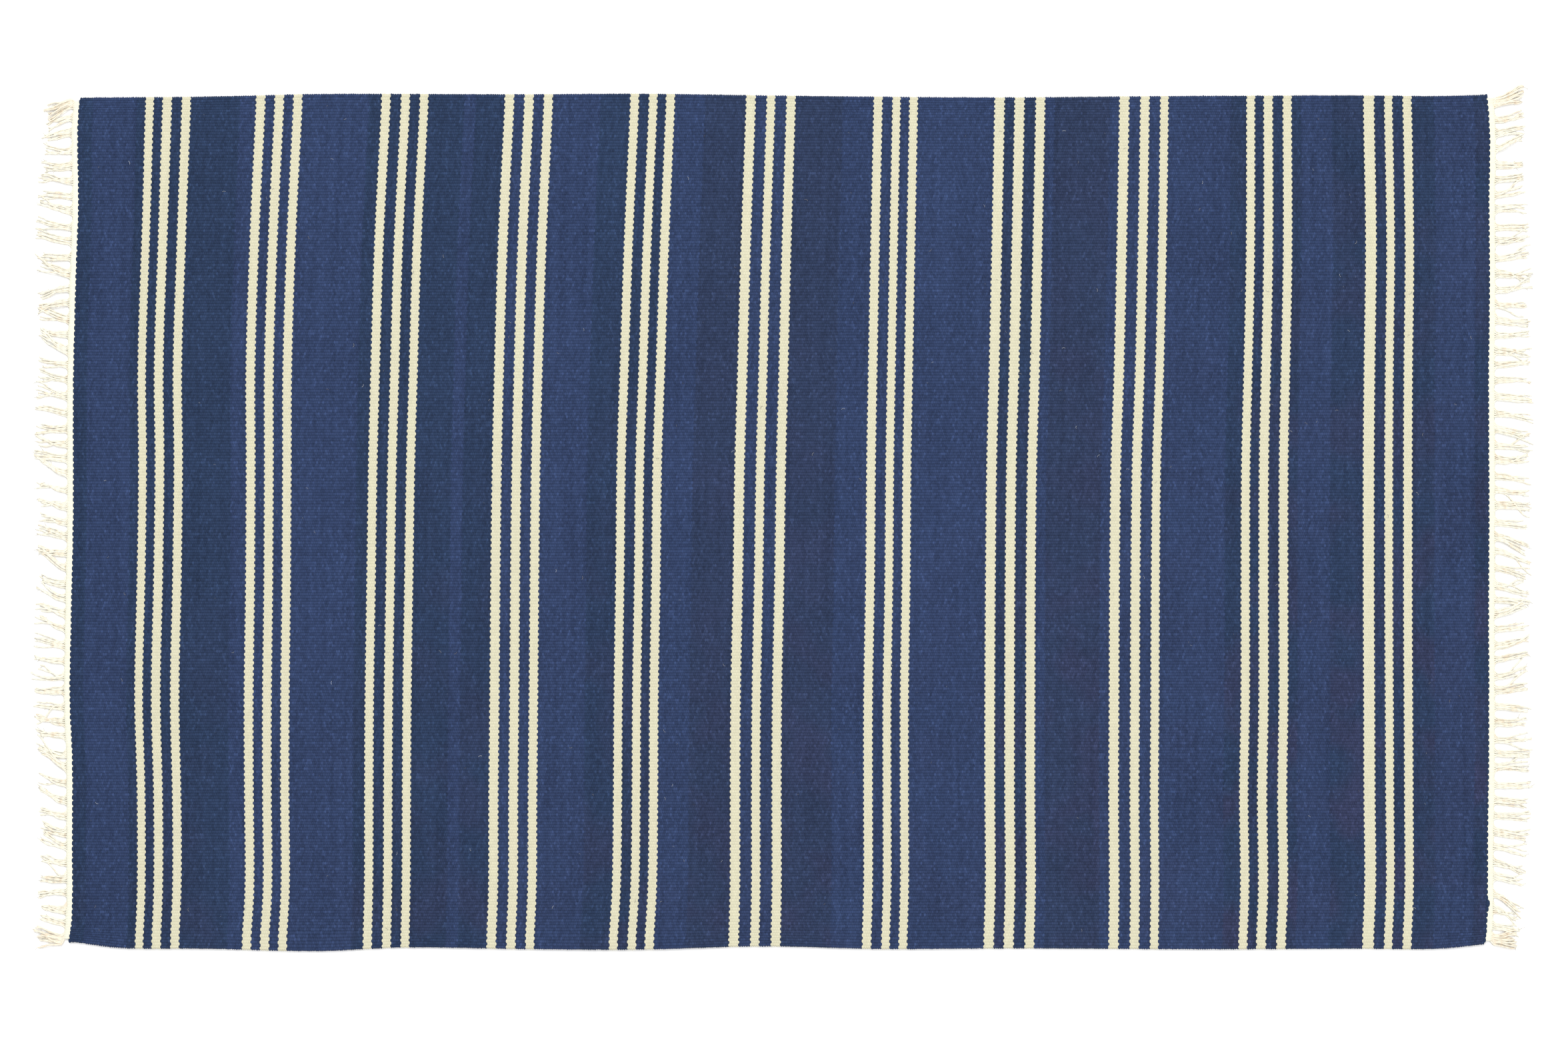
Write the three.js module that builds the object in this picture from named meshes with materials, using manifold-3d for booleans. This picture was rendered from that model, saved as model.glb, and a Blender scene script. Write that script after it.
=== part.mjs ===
// A flat-woven striped kilim rug with a warp fringe at both ends, lying flat and face up.
// Millimetres. +X runs along the rug, +Y across it and +Z up from the surface that it lies
// on. The origin is under the middle of the rug's full reach, fringes included.

import * as THREE from "three";
import { mergeVertices } from "three/addons/utils/BufferGeometryUtils.js";
import Module from "manifold-3d";

const wasm = await Module();
wasm.setup();

// The woven field: a weft-faced cloth, whose covered warps show as ribs along the rug
const FIELD_LENGTH = 1491;
const FIELD_WIDTH = 900;
const RIB_COUNT = 298;
const RIB_PITCH = FIELD_WIDTH / RIB_COUNT;
const RIB_TOP = 3.2;
const RIB_VALLEY = 2.5;
const SELVEDGE_HEIGHT = 1.5;
const SELVEDGE_TUCK = 0.7;
const SIDE_FADE = 24;
const UNDERSIDE_STRIPS = 45;

// The cotton heading at each end, which holds the roots of the fringe
const SEAM_GAP = 0.5;
const HEADING_WIDTH = 7.2;
const HEADING_HEIGHT = 2.5;
const HEADING_SPANS = 45;

// The fringe: groups of warp ends, each modelled as two tapering locks that lie on the floor
const TASSELS = 55;
const LOCK_SPLIT = 2.4;
const LOCK_SPREAD = 3.3;
const LOCK_CLEARANCE = 4;
const LOCK_WIDTH = { root: 3.2, tip: 2 };
const LOCK_HEIGHT = { root: 2, tip: 1.2 };
const LOCK_SPANS = 4;
const ROOT_DEPTH = 3;
const ROOT_JITTER = 2;
const LEAN_JITTER = 4;
const REACH_JITTER = 3.2;
const CURL = 1.6;

// How far the long sides stray outwards from straight, at places along the rug
const SIDE_WAVER = [
  { x: -745, far: -3.6, near: -6.2 },
  { x: -700, far: -3.2, near: -0.4 },
  { x: -610, far: -2.4, near: 0.6 },
  { x: -485, far: 0.4, near: 3.2 },
  { x: -400, far: 0.4, near: -0.6 },
  { x: -275, far: 0.1, near: 1.0 },
  { x: -148, far: 0.6, near: 1.6 },
  { x: -20, far: -1.1, near: -1.8 },
  { x: 105, far: -2.5, near: 1.0 },
  { x: 230, far: -3.2, near: 0.4 },
  { x: 440, far: -1.7, near: 1.2 },
  { x: 610, far: -1.1, near: 0.7 },
  { x: 700, far: -1.8, near: 0.4 },
  { x: 745, far: -0.3, near: -4.4 },
];

// How far the short ends stray towards +X from square, at places across the rug
const END_WAVER = [
  { y: -450, left: -4.4, right: -3.4 },
  { y: -420, left: -1.5, right: -1.3 },
  { y: -340, left: -0.8, right: -0.6 },
  { y: -250, left: -0.8, right: 0.5 },
  { y: -190, left: -3.3, right: 0.8 },
  { y: -100, left: -1.9, right: 0.5 },
  { y: 0, left: 0, right: 0.8 },
  { y: 150, left: 0.4, right: 0.5 },
  { y: 250, left: 2.7, right: 1.5 },
  { y: 340, left: 5.5, right: 0.8 },
  { y: 410, left: 4.8, right: 1.5 },
  { y: 450, left: 6.9, right: -1.3 },
];

// How the fringe lies: how far its tips lean towards +Y, and how far they reach outwards
const COMBED = [
  { y: -450, leftLean: 8, leftReach: 27, rightLean: -3, rightReach: 24 },
  { y: -400, leftLean: 3, leftReach: 28, rightLean: -10, rightReach: 27 },
  { y: -330, leftLean: 9, leftReach: 26, rightLean: -4, rightReach: 35 },
  { y: -240, leftLean: 8, leftReach: 28, rightLean: -2, rightReach: 36 },
  { y: -170, leftLean: 2, leftReach: 31, rightLean: 5, rightReach: 33 },
  { y: -100, leftLean: 9, leftReach: 29, rightLean: 2, rightReach: 34 },
  { y: -40, leftLean: 6, leftReach: 27, rightLean: -9, rightReach: 34 },
  { y: 40, leftLean: 6, leftReach: 31, rightLean: -2, rightReach: 35 },
  { y: 120, leftLean: 4, leftReach: 32, rightLean: -3, rightReach: 37 },
  { y: 200, leftLean: 7, leftReach: 32, rightLean: -1, rightReach: 35 },
  { y: 270, leftLean: 3, leftReach: 33, rightLean: 1, rightReach: 35 },
  { y: 340, leftLean: 5, leftReach: 34, rightLean: 3, rightReach: 32 },
  { y: 400, leftLean: -2, leftReach: 29, rightLean: 3, rightReach: 31 },
  { y: 450, leftLean: -11, leftReach: 26, rightLean: 7, rightReach: 29 },
];

// A smooth curve through one column of a table, as a function of another column.
function along(table, at, column) {
  const places = table.map((row) => row[at]);
  const values = table.map((row) => row[column]);
  const curve = new THREE.CubicInterpolant(places, values, 1, new Float64Array(1));
  const first = places[0];
  const last = places[places.length - 1];
  return (place) => curve.evaluate(THREE.MathUtils.clamp(place, first, last))[0];
}

const farSide = along(SIDE_WAVER, "x", "far");
const nearSide = along(SIDE_WAVER, "x", "near");
const leftEnd = along(END_WAVER, "y", "left");
const rightEnd = along(END_WAVER, "y", "right");

// A repeatable scatter between -1 and 1 for the numbered item of a named series.
function scatter(item, series) {
  const wave = Math.sin(item * 12.9898 + series * 78.233) * 43758.5453;
  return 2 * (wave - Math.floor(wave)) - 1;
}

// Closed surfaces made from rows of points that run side by side.
class Surface {
  constructor() {
    this.points = [];
    this.faces = [];
  }

  row(points) {
    const first = this.points.length;
    this.points.push(...points);
    return points.map((point, i) => first + i);
  }

  // Faces between two rows that run towards +axis and may differ in number of points.
  zip(a, b, axis) {
    const place = (row, i) => this.points[row[i]][axis];
    let i = 0;
    let j = 0;
    while (i < a.length - 1 || j < b.length - 1) {
      const aIsDone = i === a.length - 1;
      const bIsDone = j === b.length - 1;
      if (bIsDone || (!aIsDone && place(a, i + 1) <= place(b, j + 1))) {
        this.faces.push(a[i], a[i + 1], b[j]);
        i += 1;
      } else {
        this.faces.push(a[i], b[j + 1], b[j]);
        j += 1;
      }
    }
  }

  geometry() {
    const positions = this.points.flatMap((point) => point.toArray());
    const geometry = new THREE.BufferGeometry();
    geometry.setAttribute("position", new THREE.Float32BufferAttribute(positions, 3));
    geometry.setIndex(this.faces);
    return geometry;
  }
}

function toSolid(geometry) {
  const bare = geometry.clone();
  bare.deleteAttribute("normal");
  bare.deleteAttribute("uv");
  const merged = mergeVertices(bare, 1e-4);
  return new wasm.Manifold(
    new wasm.Mesh({
      numProp: 3,
      vertProperties: new Float32Array(merged.getAttribute("position").array),
      triVerts: new Uint32Array(merged.index.array),
    }),
  );
}

function toGeometry(solid) {
  const mesh = solid.getMesh();
  const geometry = new THREE.BufferGeometry();
  geometry.setAttribute("position", new THREE.BufferAttribute(mesh.vertProperties, 3));
  geometry.setIndex(new THREE.BufferAttribute(mesh.triVerts, 1));
  return geometry;
}

// Where a point of the cloth lies once the long sides' waver has moved it.
function waver(x, y) {
  const inset = (FIELD_WIDTH / 2 - Math.abs(y)) / SIDE_FADE;
  const share = 1 - THREE.MathUtils.smoothstep(inset, 0, 1);
  return y + share * (y > 0 ? farSide(x) : -nearSide(x));
}

const leftEdge = (y) => -FIELD_LENGTH / 2 + leftEnd(y);
const rightEdge = (y) => FIELD_LENGTH / 2 + rightEnd(y);

// One line of the field from end to end: curved near the long sides, straight inside.
function fieldLine(y, z) {
  const isNearSide = FIELD_WIDTH / 2 - Math.abs(y) < SIDE_FADE;
  const between = [];
  if (isNearSide) {
    SIDE_WAVER.slice(1, -1).forEach((row, i) => {
      between.push((SIDE_WAVER[i].x + row.x) / 2, row.x);
    });
  }
  const start = leftEdge(waver(-FIELD_LENGTH / 2, y));
  const end = rightEdge(waver(FIELD_LENGTH / 2, y));
  const places = [start, ...between, end];
  return places.map((x) => new THREE.Vector3(x, waver(x, y), z));
}

// The cloth's upper face across the rug: a rounded selvedge, then crest and valley in turn.
function upperProfile() {
  const half = FIELD_WIDTH / 2;
  const profile = [{ y: -half, z: SELVEDGE_HEIGHT }];
  for (let rib = 0; rib < RIB_COUNT; rib += 1) {
    profile.push({ y: -half + (rib + 0.5) * RIB_PITCH, z: RIB_TOP });
    if (rib < RIB_COUNT - 1) {
      profile.push({ y: -half + (rib + 1) * RIB_PITCH, z: RIB_VALLEY });
    }
  }
  profile.push({ y: half, z: SELVEDGE_HEIGHT });
  return profile;
}

function underProfile() {
  const half = FIELD_WIDTH / 2 - SELVEDGE_TUCK;
  const step = (2 * half) / UNDERSIDE_STRIPS;
  return Array.from({ length: UNDERSIDE_STRIPS + 1 }, (_, i) => ({ y: half - i * step, z: 0 }));
}

function wovenField() {
  const surface = new Surface();
  const upper = upperProfile().map(({ y, z }) => surface.row(fieldLine(y, z)));
  const under = underProfile().map(({ y, z }) => surface.row(fieldLine(y, z)));
  const ring = [...upper, ...under];
  ring.forEach((line, i) => surface.zip(line, ring[(i + 1) % ring.length], "x"));
  const lower = [...under].reverse();
  const starts = (lines) => lines.map((line) => line[0]);
  const ends = (lines) => lines.map((line) => line[line.length - 1]);
  surface.zip(starts(upper), starts(lower), "y");
  surface.zip(ends(lower), ends(upper), "y");
  return surface.geometry();
}

// The end of the field on one side, which is -1 at the left and 1 at the right: its edge as
// a function of y, and the y of a place between its two corners, from 0 to 1.
function fieldEnd(side) {
  const edge = side < 0 ? leftEdge : rightEdge;
  const low = waver(edge(-FIELD_WIDTH / 2), -FIELD_WIDTH / 2);
  const high = waver(edge(FIELD_WIDTH / 2), FIELD_WIDTH / 2);
  return { edge, across: (share) => THREE.MathUtils.lerp(low, high, share) };
}

// The heading strip beside one end of the field.
function heading(side) {
  const { edge, across } = fieldEnd(side);
  const places = Array.from({ length: HEADING_SPANS + 1 }, (_, i) => across(i / HEADING_SPANS));
  const inner = places.map((y) => new THREE.Vector2(edge(y) + side * SEAM_GAP, y));
  const outer = places.map((y) => new THREE.Vector2(edge(y) + side * HEADING_WIDTH, y));
  const outline = new THREE.Shape([...inner, ...outer.reverse()]);
  return new THREE.ExtrudeGeometry(outline, { depth: HEADING_HEIGHT, bevelEnabled: false });
}

// Root, tip and reach of each lock of one fringe, in order across the rug, none crossing.
function lockPlan(side) {
  const { across } = fieldEnd(side);
  const name = side < 0 ? "left" : "right";
  const lean = along(COMBED, "y", `${name}Lean`);
  const reach = along(COMBED, "y", `${name}Reach`);
  const locks = [];
  for (let tassel = 0; tassel < TASSELS; tassel += 1) {
    const isCorner = tassel === 0 || tassel === TASSELS - 1;
    const jitter = isCorner ? 0 : ROOT_JITTER * scatter(tassel, 1 + side);
    const root = across((tassel + 0.5) / TASSELS) + jitter;
    const tip = root + lean(root) + LEAN_JITTER * scatter(tassel, 5 + side);
    for (const half of [-1, 1]) {
      const item = 2 * tassel + (half > 0 ? 1 : 0);
      locks.push({
        root: root + half * LOCK_SPLIT,
        tip: tip + half * LOCK_SPREAD,
        reach: reach(root) + REACH_JITTER * scatter(item, 9 + side),
        curl: CURL * scatter(tassel, 13 + side),
      });
    }
  }
  for (let i = 1; i < locks.length; i += 1) {
    locks[i].tip = Math.max(locks[i].tip, locks[i - 1].tip + LOCK_CLEARANCE);
  }
  return locks;
}

// A lock: a tapering three-sided strand with its flat side down on the floor.
function lock(side, { root, tip, reach, curl }) {
  const { edge } = fieldEnd(side);
  const start = edge(root) + side * (HEADING_WIDTH - ROOT_DEPTH);
  const surface = new Surface();
  const rows = { low: [], crest: [], high: [] };
  for (let span = 0; span <= LOCK_SPANS; span += 1) {
    const share = span / LOCK_SPANS;
    const bend = THREE.MathUtils.smoothstep(share, 0, 1.3) / THREE.MathUtils.smoothstep(1, 0, 1.3);
    const x = start + side * share * (reach + ROOT_DEPTH);
    const y = THREE.MathUtils.lerp(root, tip, bend) + curl * Math.sin(Math.PI * share);
    const half = THREE.MathUtils.lerp(LOCK_WIDTH.root, LOCK_WIDTH.tip, share) / 2;
    const height = THREE.MathUtils.lerp(LOCK_HEIGHT.root, LOCK_HEIGHT.tip, share);
    rows.low.push(new THREE.Vector3(x, y - half, 0));
    rows.crest.push(new THREE.Vector3(x, y, height));
    rows.high.push(new THREE.Vector3(x, y + half, 0));
  }
  const lines = [rows.low, rows.crest, rows.high].map((points) => {
    return surface.row(side < 0 ? points.reverse() : points);
  });
  lines.forEach((line, i) => surface.zip(line, lines[(i + 1) % lines.length], "x"));
  const [low, crest, high] = lines;
  surface.faces.push(low[0], crest[0], high[0]);
  surface.faces.push(low.at(-1), high.at(-1), crest.at(-1));
  return surface.geometry();
}

function fringe(side) {
  let solid = toSolid(heading(side));
  for (const plan of lockPlan(side)) {
    solid = solid.add(toSolid(lock(side, plan)));
  }
  return toGeometry(solid);
}

const indigoWool = new THREE.MeshStandardMaterial({
  color: 0x36456a,
  roughness: 0.95,
  metalness: 0,
});
const creamCotton = new THREE.MeshStandardMaterial({
  color: 0xefe8d2,
  roughness: 0.9,
  metalness: 0,
});

function piece(name, geometry, material) {
  const mesh = new THREE.Mesh(geometry, material);
  mesh.name = name;
  return mesh;
}

const rug = new THREE.Group();
rug.add(piece("woven_field", wovenField(), indigoWool));
rug.add(piece("fringe_left", fringe(-1), creamCotton));
rug.add(piece("fringe_right", fringe(1), creamCotton));

const middle = new THREE.Box3().setFromObject(rug).getCenter(new THREE.Vector3());
rug.position.set(-middle.x, -middle.y, 0);

export default rug;
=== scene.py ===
"""A flat-woven striped kilim rug with a cotton fringe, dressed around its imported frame.

Blender 4.5, in metres. +X runs along the rug, +Y across it and +Z up from the floor. The field
is weft-faced: indigo and ecru wool wefts run across the rug and cover its warps, which show as
ribs along it. A cream cotton heading locks the wool at each end, and the warp ends beyond it
hang together in small tassels.
"""

from __future__ import annotations

import logging
import math
from dataclasses import dataclass, field
from enum import Enum
from typing import Any, Callable, Mapping, NamedTuple, Sequence

import bpy
import numpy as np
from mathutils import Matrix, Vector


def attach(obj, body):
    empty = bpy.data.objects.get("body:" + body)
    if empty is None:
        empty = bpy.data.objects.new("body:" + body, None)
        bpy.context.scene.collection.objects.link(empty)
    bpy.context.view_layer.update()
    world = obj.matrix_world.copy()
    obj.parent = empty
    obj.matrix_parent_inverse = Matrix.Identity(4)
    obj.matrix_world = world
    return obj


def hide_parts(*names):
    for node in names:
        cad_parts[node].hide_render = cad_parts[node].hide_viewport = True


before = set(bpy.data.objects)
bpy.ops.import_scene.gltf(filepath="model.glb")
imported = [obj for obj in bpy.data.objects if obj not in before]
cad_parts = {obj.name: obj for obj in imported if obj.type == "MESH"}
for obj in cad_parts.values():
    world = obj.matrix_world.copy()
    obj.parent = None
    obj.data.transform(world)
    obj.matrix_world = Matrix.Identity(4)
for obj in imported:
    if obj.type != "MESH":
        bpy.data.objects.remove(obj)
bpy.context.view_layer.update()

LOG = logging.getLogger("kilim")
MM = 0.001

# Steps of the sine that scatter() takes its numbers from
ITEM_STEP = 12.9898
SERIES_STEP = 78.233
SCATTER_SCALE = 43758.5453

# The roughness of noise that stands for single fibres
FINE = 0.7

# Pick counts that stand for an edge that isn't there, beyond both ends of the rug
NO_EDGE_BEFORE = -1000.0
NO_EDGE_AFTER = 10000.0

Curve = Callable[[np.ndarray], np.ndarray]
Colour = tuple[float, float, float]


class SideWaver(NamedTuple):
    """How far the long sides stray outwards at a place along the rug, in mm."""

    x: float
    far: float
    near: float


class EndWaver(NamedTuple):
    """How far the short ends stray towards +X at a place across the rug, in mm."""

    y: float
    left: float
    right: float


class Combed(NamedTuple):
    """How the fringe lies at a place across the rug: lean towards +Y and reach, in mm."""

    y: float
    left_lean: float
    left_reach: float
    right_lean: float
    right_reach: float


class StripeGroup(NamedTuple):
    """Three ecru stripes that are woven close together, in mm along the rug.

    The drift is how far their wefts bow towards +X at each of DRIFT_LEVELS.
    """

    middle: float
    before: float
    after: float
    widths: tuple[float, float, float]
    drift: tuple[float, ...]


class Stray(NamedTuple):
    """A tassel that was brushed aside: its place across the rug and its extra lean, in mm."""

    y: float
    lean: float


SIDE_WAVER = (
    SideWaver(-745, -3.6, -6.2),
    SideWaver(-700, -3.2, -0.4),
    SideWaver(-610, -2.4, 0.6),
    SideWaver(-485, 0.4, 3.2),
    SideWaver(-400, 0.4, -0.6),
    SideWaver(-275, 0.1, 1.0),
    SideWaver(-148, 0.6, 1.6),
    SideWaver(-20, -1.1, -1.8),
    SideWaver(105, -2.5, 1.0),
    SideWaver(230, -3.2, 0.4),
    SideWaver(440, -1.7, 1.2),
    SideWaver(610, -1.1, 0.7),
    SideWaver(700, -1.8, 0.4),
    SideWaver(745, -0.3, -4.4),
)

END_WAVER = (
    EndWaver(-450, -4.4, -3.4),
    EndWaver(-420, -1.5, -1.3),
    EndWaver(-340, -0.8, -0.6),
    EndWaver(-250, -0.8, 0.5),
    EndWaver(-190, -3.3, 0.8),
    EndWaver(-100, -1.9, 0.5),
    EndWaver(0, 0, 0.8),
    EndWaver(150, 0.4, 0.5),
    EndWaver(250, 2.7, 1.5),
    EndWaver(340, 5.5, 0.8),
    EndWaver(410, 4.8, 1.5),
    EndWaver(450, 6.9, -1.3),
)

COMBED = (
    Combed(-450, 8, 27, -3, 24),
    Combed(-400, 3, 28, -10, 27),
    Combed(-330, 9, 26, -4, 35),
    Combed(-240, 8, 28, -2, 36),
    Combed(-170, 2, 31, 5, 33),
    Combed(-100, 9, 29, 2, 34),
    Combed(-40, 6, 27, -9, 34),
    Combed(40, 6, 31, -2, 35),
    Combed(120, 4, 32, -3, 37),
    Combed(200, 7, 32, -1, 35),
    Combed(270, 3, 33, 1, 35),
    Combed(340, 5, 34, 3, 32),
    Combed(400, -2, 29, 3, 31),
    Combed(450, -11, 26, 7, 29),
)

# From the middle of the drawn cloth to the frame's origin, in mm
CENTRING = (-2.16, -1.18)

DRIFT_LEVELS = (-440, -390, -290, -190, -60, 65, 155, 290, 440)
STRIPE_GROUPS = (
    StripeGroup(-655.5, 18.0, 19.7, (8.2, 9.4, 9.0), (-3, -1, -1, -3.5, -1, 0.5, -0.5, 3.5, 8.5)),
    StripeGroup(-539.8, 19.2, 19.0, (9.3, 9.2, 8.9), (-4.5, -1.5, -2, -2, -0.5, 0, 0, 4, 11)),
    StripeGroup(-410.7, 20.2, 19.5, (9.0, 9.0, 8.7), (-5, -4, -3.5, -3, -1, 1, 3.5, 7.5, 15)),
    StripeGroup(-279.5, 20.7, 20.2, (9.7, 9.6, 9.1), (-5, -3, -2.5, -1.5, -0.5, 1, 3, 7, 14)),
    StripeGroup(-150.0, 19.6, 18.5, (8.8, 8.7, 9.2), (-7, -4, -2.5, -2, 0, 1.5, 4.5, 9, 15.5)),
    StripeGroup(-21.8, 22.0, 21.9, (10.2, 8.9, 9.7), (-5.5, -4.5, -4.5, -4, -1.5, 0.5, 3, 6.5, 11.5)),
    StripeGroup(115.1, 19.7, 18.1, (9.2, 8.3, 8.5), (-4.5, -3, -3, -3, -1, 0, 1.5, 4, 7)),
    StripeGroup(242.9, 20.7, 21.8, (10.3, 10.2, 9.6), (-2.5, -1, -1.5, -1.5, -1, 0.5, 3, 6, 9)),
    StripeGroup(375.1, 22.0, 21.0, (10.2, 9.5, 8.6), (-2, -1.5, -2, -1.5, -1, 0.5, 3.5, 6.5, 9)),
    StripeGroup(509.7, 19.2, 20.9, (8.9, 9.8, 9.4), (-3, -1, -2, -0.5, -0.5, 0, 2, 4.5, 4.5)),
    StripeGroup(641.8, 21.1, 20.0, (11.5, 8.4, 9.0), (-1, 1, 0.5, 0, -0.5, -0.5, 0, 1.5, -1)),
)

# Where the wefts are the brighter of the two indigo dye lots, in mm along the rug
ROYAL_BANDS = (
    (-732, -687),
    (-580, -448),
    (-348, -336),
    (-297, -205),
    (-130, -94),
    (-47, 5),
    (57, 220),
    (268, 280),
    (338, 469),
    (546, 580),
    (690, 732),
)

# Where the darker lot has a plum cast
PLUM_BANDS = (
    (-94, -47),
    (5, 57),
    (280, 338),
)

LEFT_STRAYS = (
    Stray(267, 12),
    Stray(239, -12),
    Stray(179, 13),
    Stray(47, 12),
    Stray(-50, 11),
    Stray(-262, 9),
)
RIGHT_STRAYS = (
    Stray(400, 8),
    Stray(96, -7),
    Stray(-14, -8),
    Stray(-95, 7),
    Stray(-189, -9),
    Stray(-395, -5),
)


def smooth_through(places: Sequence[float], values: Sequence[float]) -> Curve:
    """Makes a smooth curve through given values, which stays level beyond its two ends.

    Args:
        places: where the values stand, in rising order.
        values: what the curve is there.

    Returns:
        The curve, as a function of an array of places.
    """
    x = np.asarray(places, float)
    y = np.asarray(values, float)
    secants = np.diff(y) / np.diff(x)
    inner = (secants[1:] + secants[:-1]) / 2
    slopes = np.concatenate([secants[:1], inner, secants[-1:]])

    def at(place: np.ndarray) -> np.ndarray:
        """The curve's value at each place."""
        t = np.clip(place, x[0], x[-1])
        i = np.clip(np.searchsorted(x, t, side="right") - 1, 0, len(x) - 2)
        span = x[i + 1] - x[i]
        rise = y[i + 1] - y[i]
        share = (t - x[i]) / span
        start, end = slopes[i] * span, slopes[i + 1] * span
        square = 3 * rise - 2 * start - end
        cube = start + end - 2 * rise
        return y[i] + share * (start + share * (square + share * cube))

    return at


def smoothstep(value: np.ndarray, low: float, high: float) -> np.ndarray:
    """A smooth rise from 0 at low to 1 at high."""
    share = np.clip((value - low) / (high - low), 0, 1)
    return share * share * (3 - 2 * share)


class End(Enum):
    """The two short ends of the rug, and the way that each faces along X."""

    LEFT = -1
    RIGHT = 1

    @property
    def label(self) -> str:
        """The end's name in lower case, as the frame's nodes have it."""
        return self.name.lower()


class Series(Enum):
    """What a repeatable scatter is for: each has its own run of numbers at each end."""

    ROOT = 1
    LEAN = 5
    REACH = 9
    CURL = 13
    WANDER = 31


def scatter(item: np.ndarray | float, series: Series, end: End) -> np.ndarray | float:
    """A repeatable number between -1 and 1 for the numbered item of a series."""
    seed = (series.value + end.value) * SERIES_STEP
    wave = np.sin(np.asarray(item) * ITEM_STEP + seed) * SCATTER_SCALE
    return 2 * (wave - np.floor(wave)) - 1


@dataclass
class Cloth:
    """The woven cloth as it lies: where each woven place comes to rest on the floor.

    A woven place is u along the rug and v across it, in metres from the cloth's middle.
    """

    length: float = 1491 * MM
    width: float = 900 * MM
    ribs: int = 298
    pick: float = 1.15 * MM
    side_fade: float = 24 * MM
    rib_top: float = 3.2 * MM
    rib_valley: float = 2.6 * MM
    lift_height: float = 0.45 * MM
    lift_waves: int = 7
    lift_lengths: tuple[float, float] = (0.11, 0.42)
    lift_softness: float = 1.3
    lift_seed: int = 11
    shift: Vector = field(default_factory=lambda: Vector(CENTRING) * MM)

    def __post_init__(self) -> None:
        """Draws the curves of the outline and of the wefts."""
        along = [row.x * MM for row in SIDE_WAVER]
        across = [row.y * MM for row in END_WAVER]
        self.far_side = smooth_through(along, [row.far * MM for row in SIDE_WAVER])
        self.near_side = smooth_through(along, [row.near * MM for row in SIDE_WAVER])
        self.ends = {
            End.LEFT: smooth_through(across, [row.left * MM for row in END_WAVER]),
            End.RIGHT: smooth_through(across, [row.right * MM for row in END_WAVER]),
        }
        levels = [level * MM for level in DRIFT_LEVELS]
        bows = [smooth_through(levels, [d * MM for d in g.drift]) for g in STRIPE_GROUPS]
        self.bows = [self.ends[End.LEFT], *bows, self.ends[End.RIGHT]]
        stations = [g.middle * MM for g in STRIPE_GROUPS]
        stations = [-self.length / 2, *stations, self.length / 2]
        self.shares = [smooth_through(stations, row) for row in np.eye(len(stations))]

    @property
    def rib(self) -> float:
        """The distance from one rib to the next."""
        return self.width / self.ribs

    def drift(self, u: np.ndarray, v: np.ndarray) -> np.ndarray:
        """How far the wefts bow towards +X at each woven place."""
        return sum(share(u) * bow(v) for share, bow in zip(self.shares, self.bows))

    def waver(self, x: np.ndarray, v: np.ndarray) -> np.ndarray:
        """Where a line across the rug lies once the long sides' waver has moved it."""
        inset = (self.width / 2 - np.abs(v)) / self.side_fade
        share = 1 - smoothstep(inset, 0, 1)
        return v + share * np.where(v > 0, self.far_side(x), -self.near_side(x))

    def place(self, u: np.ndarray, v: np.ndarray) -> tuple[np.ndarray, np.ndarray]:
        """Where woven places lie on the floor plan.

        Args:
            u: places along the rug.
            v: places across it, of the same shape.

        Returns:
            Their x and y in the frame.
        """
        x = u + self.drift(u, v)
        return x + self.shift.x, self.waver(x, v) + self.shift.y

    def lift(self, x: np.ndarray, y: np.ndarray) -> np.ndarray:
        """How high the cloth's underside stands off the floor in its faint, soft waves."""
        rng = np.random.default_rng(self.lift_seed)
        height = np.zeros(np.broadcast(x, y).shape)
        for _ in range(self.lift_waves):
            angle, phase = rng.uniform(0, 2 * math.pi, 2)
            turns = 2 * math.pi / rng.uniform(*self.lift_lengths)
            height += np.sin(turns * (x * math.cos(angle) + y * math.sin(angle)) + phase)
        spread = math.sqrt(self.lift_waves / 2)
        return self.lift_height * (1 + np.tanh(height / spread / self.lift_softness))


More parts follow.
